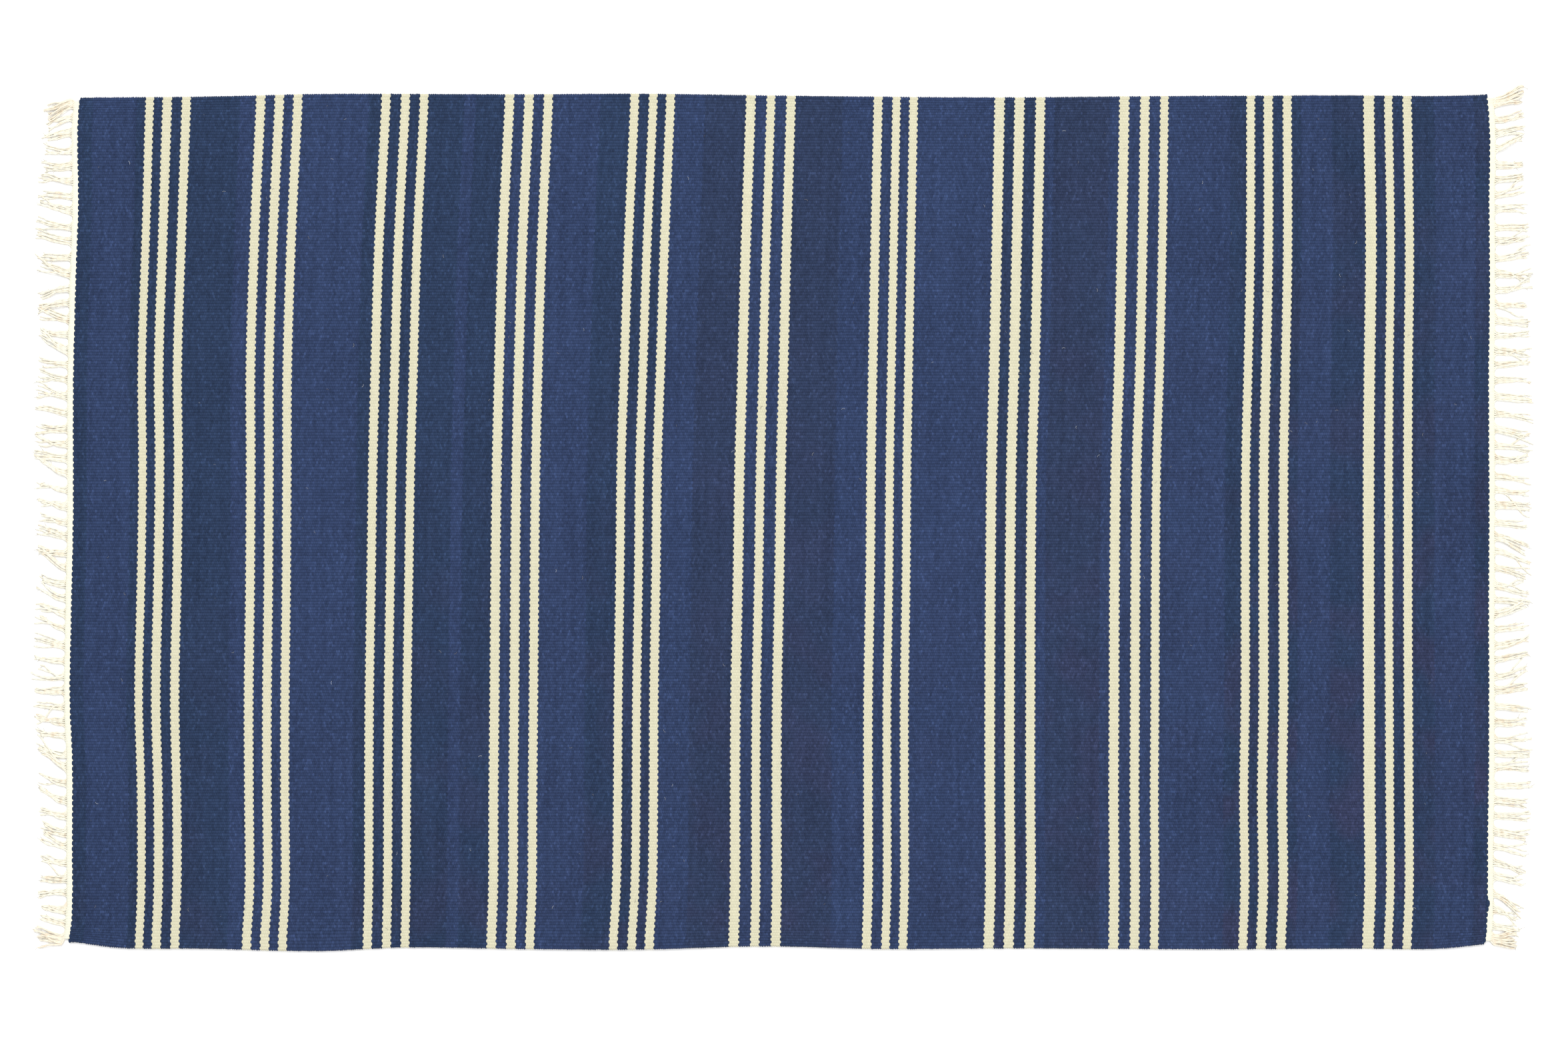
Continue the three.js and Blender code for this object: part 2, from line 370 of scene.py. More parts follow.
class WeftPlan:
    """The order of the wefts: which picks are ecru, and which are the brighter indigo.

    Picks are counted along the rug, with the first at 0. A stripe's edges fall half-way
    between two picks, and each colour takes an even number of them, because its yarn goes
    across and comes back. The bias sends a width half-way between two counts to the larger.
    """

    BIAS = 0.01

    def __init__(self, cloth: Cloth) -> None:
        """Counts the picks from end to end.

        Args:
            cloth: the cloth that the wefts make up.
        """
        half = cloth.length / 2
        places = [-half]
        counts = [-0.5]
        self.stripes: list[tuple[float, float]] = []
        for group in STRIPE_GROUPS:
            centres = (group.middle - group.before, group.middle, group.middle + group.after)
            for centre, width in zip(centres, group.widths):
                picks = 2 * round(width * MM / cloth.pick / 2 + self.BIAS)
                gap = (centre - width / 2) * MM - places[-1]
                start = counts[-1] + 2 * round(gap / cloth.pick / 2)
                places += [(centre - width / 2) * MM, (centre + width / 2) * MM]
                counts += [start, start + picks]
                self.stripes.append((start, start + picks))
        counts.append(counts[-1] + 2 * round((half - places[-1]) / cloth.pick / 2))
        places.append(half)
        self.places = np.array(places)
        self.counts = np.array(counts)
        self.total = int(self.counts[-1] + 0.5)
        self.royals = self.bands(ROYAL_BANDS)
        self.plums = self.bands(PLUM_BANDS)

    def bands(self, spans: Sequence[tuple[float, float]]) -> list[tuple[float, float]]:
        """The pick counts between which each band lies, for bands in mm along the rug."""
        return [tuple(np.floor(self.count(np.array(span) * MM)) + 0.5) for span in spans]

    def count(self, u: np.ndarray) -> np.ndarray:
        """The pick count at each place along the rug."""
        return np.interp(u, self.places, self.counts)

    def where(self, picks: np.ndarray) -> np.ndarray:
        """The place along the rug of each pick count."""
        return np.interp(picks, self.counts, self.places)

    def columns(self, widest: float) -> np.ndarray:
        """Pick counts for a mesh's columns: the colours' edges, the end picks and some between.

        Args:
            widest: the most picks between two columns.

        Returns:
            The counts in rising order, from end to end.
        """
        edges = {float(c) for c in self.counts}
        edges |= {float(e) for band in self.royals + self.plums for e in band}
        edges |= {self.counts[0] + 2, self.counts[-1] - 2}
        ordered = sorted(edges)
        columns = [ordered[0]]
        for low, high in zip(ordered, ordered[1:]):
            steps = max(1, math.ceil((high - low) / widest))
            columns += list(np.linspace(low, high, steps + 1)[1:])
        return np.array(columns)

    @staticmethod
    def nearest(spans: Sequence[tuple[float, float]], column: float) -> tuple[float, float]:
        """The edges that matter between one column and the next.

        Args:
            spans: the coloured spans of picks, in rising order.
            column: a count between the two columns.

        Returns:
            Inside a span, its right and left edge. Between two spans, the right edge of the
            one before and the left edge of the one after.
        """
        before, after = NO_EDGE_BEFORE, NO_EDGE_AFTER
        for low, high in spans:
            if low < column < high:
                return high, low
            if high <= column:
                before = high
            elif after == NO_EDGE_AFTER:
                after = low
        return before, after

    @staticmethod
    def is_in(spans: Sequence[tuple[float, float]], pick: float) -> bool:
        """Whether a pick lies in one of the spans."""
        return any(low < pick < high for low, high in spans)


@dataclass
class Grid:
    """Rows of points across the rug, each with the same columns along it.

    The pick and rib counts are what the weave pattern follows.
    """

    x: np.ndarray
    y: np.ndarray
    z: np.ndarray
    picks: np.ndarray
    ribs: np.ndarray

    def points(self) -> np.ndarray:
        """The points as rows of x, y and z."""
        return np.stack([self.x, self.y, self.z], axis=-1).reshape(-1, 3)

    def numbers(self, first: int) -> np.ndarray:
        """The vertex numbers of the grid's points, from the first on."""
        return first + np.arange(self.x.size).reshape(self.x.shape)


class ClothMesh:
    """A closed cloth between an upper and a lower grid that share their columns."""

    def __init__(self, upper: Grid, lower: Grid) -> None:
        """Joins the two grids by side and end walls.

        Args:
            upper: the cloth's face.
            lower: its underside, with fewer rows.
        """
        self.points = np.concatenate([upper.points(), lower.points()])
        self.picks = np.concatenate([upper.picks.ravel(), lower.picks.ravel()])
        self.ribs = np.concatenate([upper.ribs.ravel(), lower.ribs.ravel()])
        self.faces: list[tuple[int, ...]] = []
        self.columns: list[int] = []
        top = upper.numbers(0)
        bottom = lower.numbers(upper.x.size)
        last = top.shape[1] - 2
        self.fill(top[:-1, :-1], top[:-1, 1:], top[1:, 1:], top[1:, :-1])
        self.fill(bottom[:-1, :-1], bottom[1:, :-1], bottom[1:, 1:], bottom[:-1, 1:])
        self.fill(top[:1, :-1], bottom[:1, :-1], bottom[:1, 1:], top[:1, 1:])
        self.fill(top[-1:, :-1], top[-1:, 1:], bottom[-1:, 1:], bottom[-1:, :-1])
        self.zip(top[:, 0], bottom[:, 0], 0)
        self.zip(bottom[:, -1], top[:, -1], last)

    def fill(self, *corners: np.ndarray) -> None:
        """Adds a quad for each place of four equal arrays of corners."""
        quads = np.stack(corners, axis=-1)
        self.columns += list(np.tile(np.arange(quads.shape[1]), quads.shape[0]))
        self.faces += [tuple(q) for q in quads.reshape(-1, 4).tolist()]

    def zip(self, first: np.ndarray, second: np.ndarray, column: int) -> None:
        """Adds triangles between two lines of points that run towards +Y.

        Args:
            first: vertex numbers of one line.
            second: vertex numbers of the other.
            column: the column interval that the triangles belong to.
        """
        a, b = first.tolist(), second.tolist()
        y = self.points[:, 1]
        i = j = 0
        while i < len(a) - 1 or j < len(b) - 1:
            b_is_done = j == len(b) - 1
            a_is_next = i < len(a) - 1 and (b_is_done or y[a[i + 1]] <= y[b[j + 1]])
            if a_is_next:
                self.faces.append((a[i], a[i + 1], b[j]))
                i += 1
            else:
                self.faces.append((a[i], b[j + 1], b[j]))
                j += 1
            self.columns.append(column)

    def make(self, name: str, maps: Mapping[str, np.ndarray] | None = None) -> bpy.types.Object:
        """Makes the object, with a Weave map of its pick and rib counts.

        Args:
            name: the piece's name.
            maps: for each further map, the two edges that count in each column interval.

        Returns:
            The object, linked to the scene and shaded smooth.
        """
        mesh = bpy.data.meshes.new(name)
        mesh.from_pydata(self.points.tolist(), [], self.faces)
        sizes = [len(face) for face in self.faces]
        corners = np.concatenate([np.array(face) for face in self.faces])
        column = np.repeat(np.array(self.columns), sizes)
        picks = self.picks[corners]
        weave = np.stack([picks, self.ribs[corners]], axis=-1)
        self.add_map(mesh, "Weave", weave)
        for label, edges in (maps or {}).items():
            right, left = edges[column, 0], edges[column, 1]
            self.add_map(mesh, label, np.stack([right - picks, picks - left], axis=-1))
        mesh.shade_smooth()
        mesh.update()
        return link_piece(name, mesh)

    @staticmethod
    def add_map(mesh: bpy.types.Mesh, name: str, values: np.ndarray) -> None:
        """Adds a UV map with one pair of values for each face corner."""
        layer = mesh.uv_layers.new(name=name)
        layer.uv.foreach_set("vector", values.astype(np.float32).ravel())


def link_piece(name: str, mesh: bpy.types.Mesh) -> bpy.types.Object:
    """Makes an object of a mesh and links it to the scene."""
    piece = bpy.data.objects.new(name, mesh)
    bpy.context.scene.collection.objects.link(piece)
    return piece


def settle(piece: bpy.types.Object, slot: str, *nodes: str) -> None:
    """Rides a piece on the rug's one body, and hides the nodes it stands for."""
    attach(piece, "root")
    if nodes:
        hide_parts(*nodes)
    LOG.info("%s: %d faces", piece.name, len(piece.data.polygons))


class Value:
    """A number that varies over a surface, which takes part in sums as a number does."""

    def __init__(self, graph: "Graph", socket: bpy.types.NodeSocket) -> None:
        """Wraps a socket.

        Args:
            graph: the tree that the socket is in.
            socket: the output that carries the number.
        """
        self.graph = graph
        self.socket = socket

    def __add__(self, other: "Value | float") -> "Value":
        """The sum."""
        return self.graph.math("ADD", self, other)

    def __radd__(self, other: float) -> "Value":
        """The sum, with the number first."""
        return self.graph.math("ADD", other, self)

    def __sub__(self, other: "Value | float") -> "Value":
        """The difference."""
        return self.graph.math("SUBTRACT", self, other)

    def __rsub__(self, other: float) -> "Value":
        """The difference from a number."""
        return self.graph.math("SUBTRACT", other, self)

    def __mul__(self, other: "Value | float") -> "Value":
        """The product."""
        return self.graph.math("MULTIPLY", self, other)

    def __rmul__(self, other: float) -> "Value":
        """The product, with the number first."""
        return self.graph.math("MULTIPLY", other, self)

    def __truediv__(self, other: "Value | float") -> "Value":
        """The quotient."""
        return self.graph.math("DIVIDE", self, other)

    def __gt__(self, other: "Value | float") -> "Value":
        """1 where the value is the greater, else 0."""
        return self.graph.math("GREATER_THAN", self, other)

    def __lt__(self, other: "Value | float") -> "Value":
        """1 where the value is the smaller, else 0."""
        return self.graph.math("LESS_THAN", self, other)

    def rounded(self) -> "Value":
        """The nearest whole number."""
        return self.graph.math("ROUND", self)

    def least(self, other: "Value | float") -> "Value":
        """The smaller of the two."""
        return self.graph.math("MINIMUM", self, other)

    def most(self, other: "Value | float") -> "Value":
        """The greater of the two."""
        return self.graph.math("MAXIMUM", self, other)

    def size(self) -> "Value":
        """The value without its sign."""
        return self.graph.math("ABSOLUTE", self)

    def root(self) -> "Value":
        """The square root."""
        return self.graph.math("SQRT", self)

    def sine(self) -> "Value":
        """The sine."""
        return self.graph.math("SINE", self)

    def cosine(self) -> "Value":
        """The cosine."""
        return self.graph.math("COSINE", self)

    def clamped(self) -> "Value":
        """The value kept between 0 and 1."""
        return self.most(0.0).least(1.0)

    def eased(self, low: float, high: float) -> "Value":
        """A smooth rise from 0 at low to 1 at high."""
        share = ((self - low) / (high - low)).clamped()
        return share * share * (3 - 2 * share)


class Graph:
    """A node tree, in which one method adds any node."""

    def __init__(self, tree: bpy.types.NodeTree) -> None:
        """Wraps a tree.

        Args:
            tree: a material's or a modifier's node tree.
        """
        self.tree = tree

    def node(
        self,
        kind: str,
        settings: Mapping[str, Any] | None = None,
        inputs: Mapping[str | int, Any] | None = None,
    ) -> bpy.types.Node:
        """Adds a node.

        Args:
            kind: the node's type.
            settings: its own settings, which are set first.
            inputs: values or links of its sockets, by name or number.

        Returns:
            The node.
        """
        made = self.tree.nodes.new(kind)
        for name, value in (settings or {}).items():
            setattr(made, name, value)
        for key, value in (inputs or {}).items():
            self.feed(made.inputs[key], value)
        return made

    def feed(self, socket: bpy.types.NodeSocket, value: Any) -> None:
        """Links a value's socket to an input, or sets the input to a plain value."""
        source = value.socket if isinstance(value, Value) else value
        if isinstance(source, bpy.types.NodeSocket):
            self.tree.links.new(source, socket)
        else:
            socket.default_value = source

    def math(self, operation: str, *terms: Value | float) -> Value:
        """Adds a Math node and returns its result."""
        made = self.node("ShaderNodeMath", {"operation": operation}, dict(enumerate(terms)))
        return Value(self, made.outputs[0])

    def choose(self, share: Value, low: Value | float, high: Value | float) -> Value:
        """Mixes two numbers: low where the share is 0, high where it is 1."""
        made = self.node("ShaderNodeMix", {"data_type": "FLOAT"}, {0: share, 2: low, 3: high})
        return Value(self, made.outputs[0])

    def vector(self, x: Value | float, y: Value | float, z: Value | float = 0.0) -> Value:
        """Joins three numbers to a vector."""
        made = self.node("ShaderNodeCombineXYZ", {}, {0: x, 1: y, 2: z})
        return Value(self, made.outputs[0])

    def split(self, vector: Value | bpy.types.NodeSocket) -> tuple[Value, Value, Value]:
        """The three numbers of a vector."""
        made = self.node("ShaderNodeSeparateXYZ", {}, {0: vector})
        return tuple(Value(self, made.outputs[i]) for i in range(3))


class Dress(Graph):
    """The node tree of one material, which ends in a Principled shader."""

    def __init__(self, name: str) -> None:
        """Makes the material.

        Args:
            name: the finish's name.
        """
        self.material = bpy.data.materials.new(name)
        self.material.use_nodes = True
        self.material.node_tree.nodes.clear()
        super().__init__(self.material.node_tree)
        self.surface = self.node("ShaderNodeBsdfPrincipled")
        output = self.node("ShaderNodeOutputMaterial")
        self.tree.links.new(self.surface.outputs[0], output.inputs["Surface"])

    def set(self, **sockets: Any) -> None:
        """Sets or links the shader's sockets, with _ for each space of a name."""
        for name, value in sockets.items():
            self.feed(self.surface.inputs[name.replace("_", " ")], value)

    def uv(self, name: str) -> tuple[Value, Value, Value]:
        """The two numbers of a UV map, and a third that is 0."""
        return self.split(self.node("ShaderNodeUVMap", {"uv_map": name}).outputs[0])

    def attribute(self, name: str) -> Value:
        """A named attribute of the mesh, as one number."""
        made = self.node("ShaderNodeAttribute", {"attribute_name": name})
        return Value(self, made.outputs["Fac"])

    def attribute_parts(self, name: str) -> tuple[Value, Value, Value]:
        """The three numbers of a named vector attribute."""
        made = self.node("ShaderNodeAttribute", {"attribute_name": name})
        return self.split(made.outputs["Vector"])

    def place(self) -> Value:
        """The point's place on the object."""
        return Value(self, self.node("ShaderNodeTexCoord").outputs["Object"])

    def noise(self, at: Value, scale: float, detail: float = 2.0, rough: float = 0.5) -> Value:
        """Smooth noise around 0, mostly between -0.5 and 0.5."""
        inputs = {"Vector": at, "Scale": scale, "Detail": detail, "Roughness": rough}
        return Value(self, self.node("ShaderNodeTexNoise", {}, inputs).outputs["Fac"]) - 0.5

    def chance(self, at: Value) -> Value:
        """A random number from 0 to 1 for each whole place."""
        made = self.node("ShaderNodeTexWhiteNoise", {}, {"Vector": at})
        return Value(self, made.outputs["Value"])

    def tint(self, share: Value | float, low: Value | Colour, high: Value | Colour) -> Value:
        """Mixes two colours: low where the share is 0, high where it is 1."""
        low, high = (c if isinstance(c, Value) else (*c, 1.0) for c in (low, high))
        settings = {"data_type": "RGBA", "clamp_factor": True}
        made = self.node("ShaderNodeMix", settings, {0: share, 6: low, 7: high})
        return Value(self, made.outputs[2])

    def shaded(self, colour: Value, share: Value) -> Value:
        """A colour made lighter or darker by a share."""
        inputs = {0: colour, "Scale": share}
        made = self.node("ShaderNodeVectorMath", {"operation": "SCALE"}, inputs)
        return Value(self, made.outputs[0])

    def relief(self, height: Value, depth: float) -> None:
        """Gives the surface a fine relief of that depth in metres."""
        inputs = {"Height": height, "Distance": depth, "Strength": 1.0}
        bump = self.node("ShaderNodeBump", {}, inputs)
        self.set(Normal=bump.outputs[0])


class Floats:
    """The floats of a plain weave in which the wefts cover the warps.

    Each weft shows on every second rib, and its neighbours show on the ribs between, so the
    floats lie like bricks. Each runs out to a point between its neighbours. HEX is how much
    nearer a float counts along its own length, REACH is how far its tip is from its middle, and
    FLANK and TIP are how steeply its crown falls to its sides and its tips.
    """

    HEX = 3.0
    REACH = 1 / 3
    FLANK = 0.72
    TIP = 0.78

    def __init__(self, dress: Dress) -> None:
        """Finds the float that covers each point of the surface.

        Args:
            dress: the material, on a piece with a Weave map.
        """
        picks, ribs, _ = dress.uv("Weave")
        self.dress = dress
        self.picks = picks
        self.ribs = ribs
        x = picks / 2
        y = (ribs - 0.5) / 2
        even = self.candidate(x, y, 0.0)
        odd = self.candidate(x, y, 0.5)
        is_odd = odd[4] < even[4]
        across, along, column, row, _ = (dress.choose(is_odd, e, o) for e, o in zip(even, odd))
        self.across = across
        self.column = column
        self.row = row
        tip = along / self.REACH
        flank = across * 2
        fall = 1 - self.FLANK * flank * flank - self.TIP * tip * tip
        self.crown = fall.most(0.0).root()
        self.valley = 1 - 2 * (ribs - ribs.rounded()).size()

    def candidate(self, x: Value, y: Value, offset: float) -> tuple[Value, ...]:
        """The nearest float of one of the two sets, and how far its middle is."""
        column = (x - offset).rounded() + offset
        row = (y - offset).rounded() + offset
        across = x - column
        along = y - row
        return across, along, column, row, across * across + self.HEX * along * along

    def each(self) -> Value:
        """A random number from 0 to 1 for each float."""
        return self.dress.chance(self.dress.vector(self.column * 2, self.row * 2))

    def fibre(self, lay: tuple[float, float, float]) -> Value:
        """Fine noise that lies slantwise along the floats, as spun fibres do.

        Args:
            lay: how quickly it changes with the picks, and twice with the ribs.

        Returns:
            The noise, around 0.
        """
        by_pick, by_rib, along = lay
        strand = self.dress.vector(self.picks * by_pick + self.ribs * by_rib, self.ribs * along)
        return self.dress.noise(strand, 1.0, 2.0, FINE)

    def depth_in(self, name: str) -> Value:
        """How many picks a float's middle lies inside a span of the named map, less than 0 outside."""
        right, left, _ = self.dress.uv(name)
        was_inside = right > 0.0
        to_right = right + self.across * 2
        to_left = left - self.across * 2
        return self.dress.choose(was_inside, to_right.most(to_left), to_right.least(to_left))

    def is_in(self, name: str) -> Value:
        """1 on the floats whose middle lies in a coloured span of the named map, else 0."""
        return self.depth_in(name) > 0.0

    def nearness(self, name: str, reach: float) -> Value:
        """How close a float outside the coloured spans lies to one, from 0 to 1."""
        return (self.depth_in(name) / reach + 1).clamped()


@dataclass(frozen=True)
class IndigoWool:
    """The field's wool: two lots of indigo and one of ecru, hand-spun and worn soft.

    The darker lot is plum in some bands, and a wine cast blooms towards one corner. The swings
    are how much lighter or darker single floats, streaks of wefts, wide patches, single fibres
    and rare pale flecks are, and the ecru swings are the first two and the fourth of these on
    ecru wool.
    """

    royal: Colour = (0.0256, 0.0430, 0.1045)
    navy: Colour = (0.020, 0.0368, 0.084)
    plum: Colour = (0.0232, 0.0372, 0.0845)
    wine: Colour = (0.029, 0.036, 0.084)
    ecru: Colour = (0.600, 0.575, 0.420)
    streak_lay: tuple[float, float] = (0.37, 0.021)
    fibre_lay: tuple[float, float, float] = (3.1, 1.3, 0.9)
    patch_scale: float = 9.0
    bloom_scale: float = 16.0
    bloom_from: tuple[float, float] = (-0.12, 0.16)
    wine_slope: tuple[float, float] = (0.55, 0.9)
    wine_start: float = 0.35
    royal_guard: float = 0.75
    float_swing: float = 0.34
    streak_swing: float = 0.6
    patch_swing: float = 0.35
    fibre_swing: float = 1.7
    fleck_swing: float = 3.0
    fleck_from: float = 0.4
    ecru_swings: tuple[float, float, float] = (0.07, 0.06, 0.1)
    # Painted highlight on the ecru floats' crowns, with painted shade away from them
    ecru_crown_shading: float = 0.16
    mean_crown: float = 0.7
    # Painted shade and highlight: the floats' colour is lighter on their crowns and darker away from
    # them
    float_shading: float = 0.77
    crown_highlight: float = 0.36
    valley_shade: float = 0.28
    beside_shade: float = 0.13
    beside_reach: float = 2.2
    roughness: float = 0.86
    relief: float = 0.32 * MM
    fibre_relief: float = 0.22

    def make(self) -> bpy.types.Material:
        """Makes the material for a cloth with Weave, Stripe, Royal and Plum maps."""
        dress = Dress("indigo_wool")
        floats = Floats(dress)
        is_ecru = floats.is_in("Stripe")
        is_royal = floats.is_in("Royal")
        is_plum = floats.is_in("Plum")
        place = dress.place()
        x, y, _ = dress.split(place)

        by_pick, by_rib = self.streak_lay
        lot = dress.vector(floats.column * by_pick, floats.row * by_rib)
        streak = dress.noise(lot, 1.0, 3.0, 0.6)
        each = floats.each() - 0.5
        patch = dress.noise(place, self.patch_scale, 3.0)
        fibre = floats.fibre(self.fibre_lay)

        to_right, to_near = self.wine_slope
        towards = (x * to_right - y * to_near + self.wine_start).clamped()
        bloom = dress.noise(place, self.bloom_scale, 2.0).eased(*self.bloom_from)
        wine = towards * bloom * (1 - self.royal_guard * is_royal)
        night = dress.tint(is_plum, self.navy, self.plum)
        dark = dress.tint(wine, dress.tint(is_royal, night, self.royal), self.wine)
        beside = floats.nearness("Stripe", self.beside_reach) * (1 - is_ecru)
        fleck = (each - self.fleck_from).most(0.0) * self.fleck_swing
        swing = self.float_swing * each + self.streak_swing * streak
        swing = swing + self.patch_swing * patch + self.fibre_swing * fibre + fleck
        # Painted shade: each float is darker away from its crown, in the rib valleys and beside the
        # ecru stripes, and has a painted highlight on its crown
        furrow = floats.valley * floats.valley * floats.valley
        float_shading = self.float_shading + self.crown_highlight * floats.crown
        shade = float_shading * (1 - self.valley_shade * furrow) * (1 - self.beside_shade * beside)
        tone = (1 + swing) * shade
        of_float, of_streak, of_fibre = self.ecru_swings
        pale = 1 + of_float * each + of_streak * streak + of_fibre * fibre
        # Painted shade and highlight on the ecru floats: lighter on their crowns, darker away from
        # them
        pale = pale + self.ecru_crown_shading * (floats.crown - self.mean_crown)
        share = dress.choose(is_ecru, tone, pale)
        colour = dress.shaded(dress.tint(is_ecru, dark, self.ecru), share)

        dress.set(Base_Color=colour, Roughness=self.roughness - 0.1 * fibre)
        dress.set(Specular_IOR_Level=0.12, Sheen_Weight=0.02, Sheen_Roughness=0.5)
        dress.relief(floats.crown + self.fibre_relief * fibre, self.relief)
        return dress.material


@dataclass(frozen=True)
class SelvedgeWool:
    """The same wool where a weft turns back at the selvedge, one colour for each turn."""

    royal: Colour = (0.026, 0.044, 0.110)
    navy: Colour = (0.019, 0.035, 0.080)
    ecru: Colour = (0.630, 0.600, 0.440)
    fibre_scale: float = 1400.0
    fibre_swing: float = 0.5
    relief: float = 0.2 * MM

    def make(self) -> bpy.types.Material:
        """Makes the material for turns with a dye attribute: 0 navy, 1 royal, 2 ecru."""
        dress = Dress("selvedge_wool")
        dye = dress.attribute("dye")
        fibre = dress.noise(dress.place(), self.fibre_scale, 3.0, FINE)
        dark = dress.tint(dye.clamped(), self.navy, self.royal)
        colour = dress.tint((dye - 1).clamped(), dark, self.ecru)
        dress.set(Base_Color=dress.shaded(colour, 1 + self.fibre_swing * fibre), Roughness=0.9)
        dress.set(Specular_IOR_Level=0.12, Sheen_Weight=0.03, Sheen_Roughness=0.5)
        dress.relief(fibre, self.relief)
        return dress.material


@dataclass(frozen=True)
class HeadingCotton:
    """Cream cotton weft, packed tight in the headings, with painted shade in tan in the valleys
    between its floats.
    """

    cream: Colour = (0.80, 0.795, 0.665)
    tan: Colour = (0.71, 0.665, 0.52)
    fibre_lay: tuple[float, float, float] = (2.6, 1.4, 1.1)
    fibre_swing: float = 0.06
    worn_scale: float = 60.0
    worn_from: tuple[float, float] = (0.02, 0.3)
    float_tan: float = 0.16
    worn_tan: float = 0.3
    # Painted shade: how far the valleys between the floats turn tan
    valley_shade_tan: float = 0.35
    relief: float = 0.2 * MM

    def make(self) -> bpy.types.Material:
        """Makes the material for a cloth with a Weave map."""
        dress = Dress("heading_cotton")
        floats = Floats(dress)
        fibre = floats.fibre(self.fibre_lay)
        worn = dress.noise(dress.place(), self.worn_scale, 3.0).eased(*self.worn_from)
        valley = 1 - floats.crown
        tan = self.float_tan * floats.each() + self.worn_tan * worn
        # Painted shade in tan in the valleys between the floats, on top of the floats' own tan and
        # wear
        colour = dress.tint(tan + self.valley_shade_tan * valley * valley, self.cream, self.tan)
        dress.set(Base_Color=dress.shaded(colour, 1 + self.fibre_swing * fibre), Roughness=0.88)
        dress.set(Specular_IOR_Level=0.25, Sheen_Weight=0.05)
        dress.relief(floats.crown + 0.2 * fibre, self.relief)
        return dress.material


@dataclass(frozen=True)
class FringeCotton:
    """Plied cotton yarn: two plies that twist round each other, with soft loose fibres, and painted
    shade in tan in the groove between the plies.
    """

    cream: Colour = (0.885, 0.865, 0.745)
    tan: Colour = (0.76, 0.60, 0.43)
    lay: float = 6.5 * MM
    fibre_scale: float = 1100.0
    fibre_swing: float = 0.12
    fibre_relief: float = 0.4
    # Random tan patches along the yarns: their size, their threshold and how tan they turn
    tan_patch_scale: float = 150.0
    tan_patch_from: tuple[float, float] = (0.02, 0.22)
    groove_from: tuple[float, float] = (0.3, 1.0)
    yarn_tan: float = 0.3
    patch_tan: float = 0.4
    # Painted shade: how far the groove between the plies turns tan
    groove_shade_tan: float = 0.4
    relief: float = 0.2 * MM

    def make(self) -> bpy.types.Material:
        """Makes the material for yarns with a tint, and a yarn attribute of run and place round."""
        dress = Dress("fringe_cotton")
        run, east, north = dress.attribute_parts("yarn")
        turn = run * (2 * math.pi / self.lay)
        double_sine = 2 * east * north
        double_cosine = east * east - north * north
        ply = double_sine * turn.cosine() + double_cosine * turn.sine()
        tint = dress.attribute("tint")
        fibre = dress.noise(dress.place(), self.fibre_scale, 3.0, FINE)
        # Random tan patches along the yarns, darker in places
        tan_patches = dress.noise(dress.place(), self.tan_patch_scale, 3.0).eased(*self.tan_patch_from)
        # Painted shade in tan where the plies part, in the groove between them
        groove = (0 - ply).eased(*self.groove_from)
        tan = self.yarn_tan * tint + self.patch_tan * tan_patches + self.groove_shade_tan * groove
        colour = dress.tint(tan, self.cream, self.tan)
        dress.set(Base_Color=dress.shaded(colour, 1 + self.fibre_swing * fibre), Roughness=0.9)
        dress.set(Specular_IOR_Level=0.25, Sheen_Weight=0.08)
        dress.relief(ply + self.fibre_relief * fibre, self.relief)
        return dress.material


@dataclass(frozen=True)
class LintFluff:
    """Loose fibres that rub off the wool: pale, blue-grey or brown."""

    pale: Colour = (0.50, 0.53, 0.58)
    brown: Colour = (0.16, 0.14, 0.14)
    fibre_scale: float = 900.0
    fibre_swing: float = 0.4

    def make(self) -> bpy.types.Material:
        """Makes the material for fibres with a tint attribute."""
        dress = Dress("lint_fluff")
        tint = dress.attribute("tint")
        fibre = dress.noise(dress.place(), self.fibre_scale)
        colour = dress.tint(tint, self.pale, self.brown)
        dress.set(Base_Color=dress.shaded(colour, 1 + self.fibre_swing * fibre), Roughness=0.9)
        return dress.material


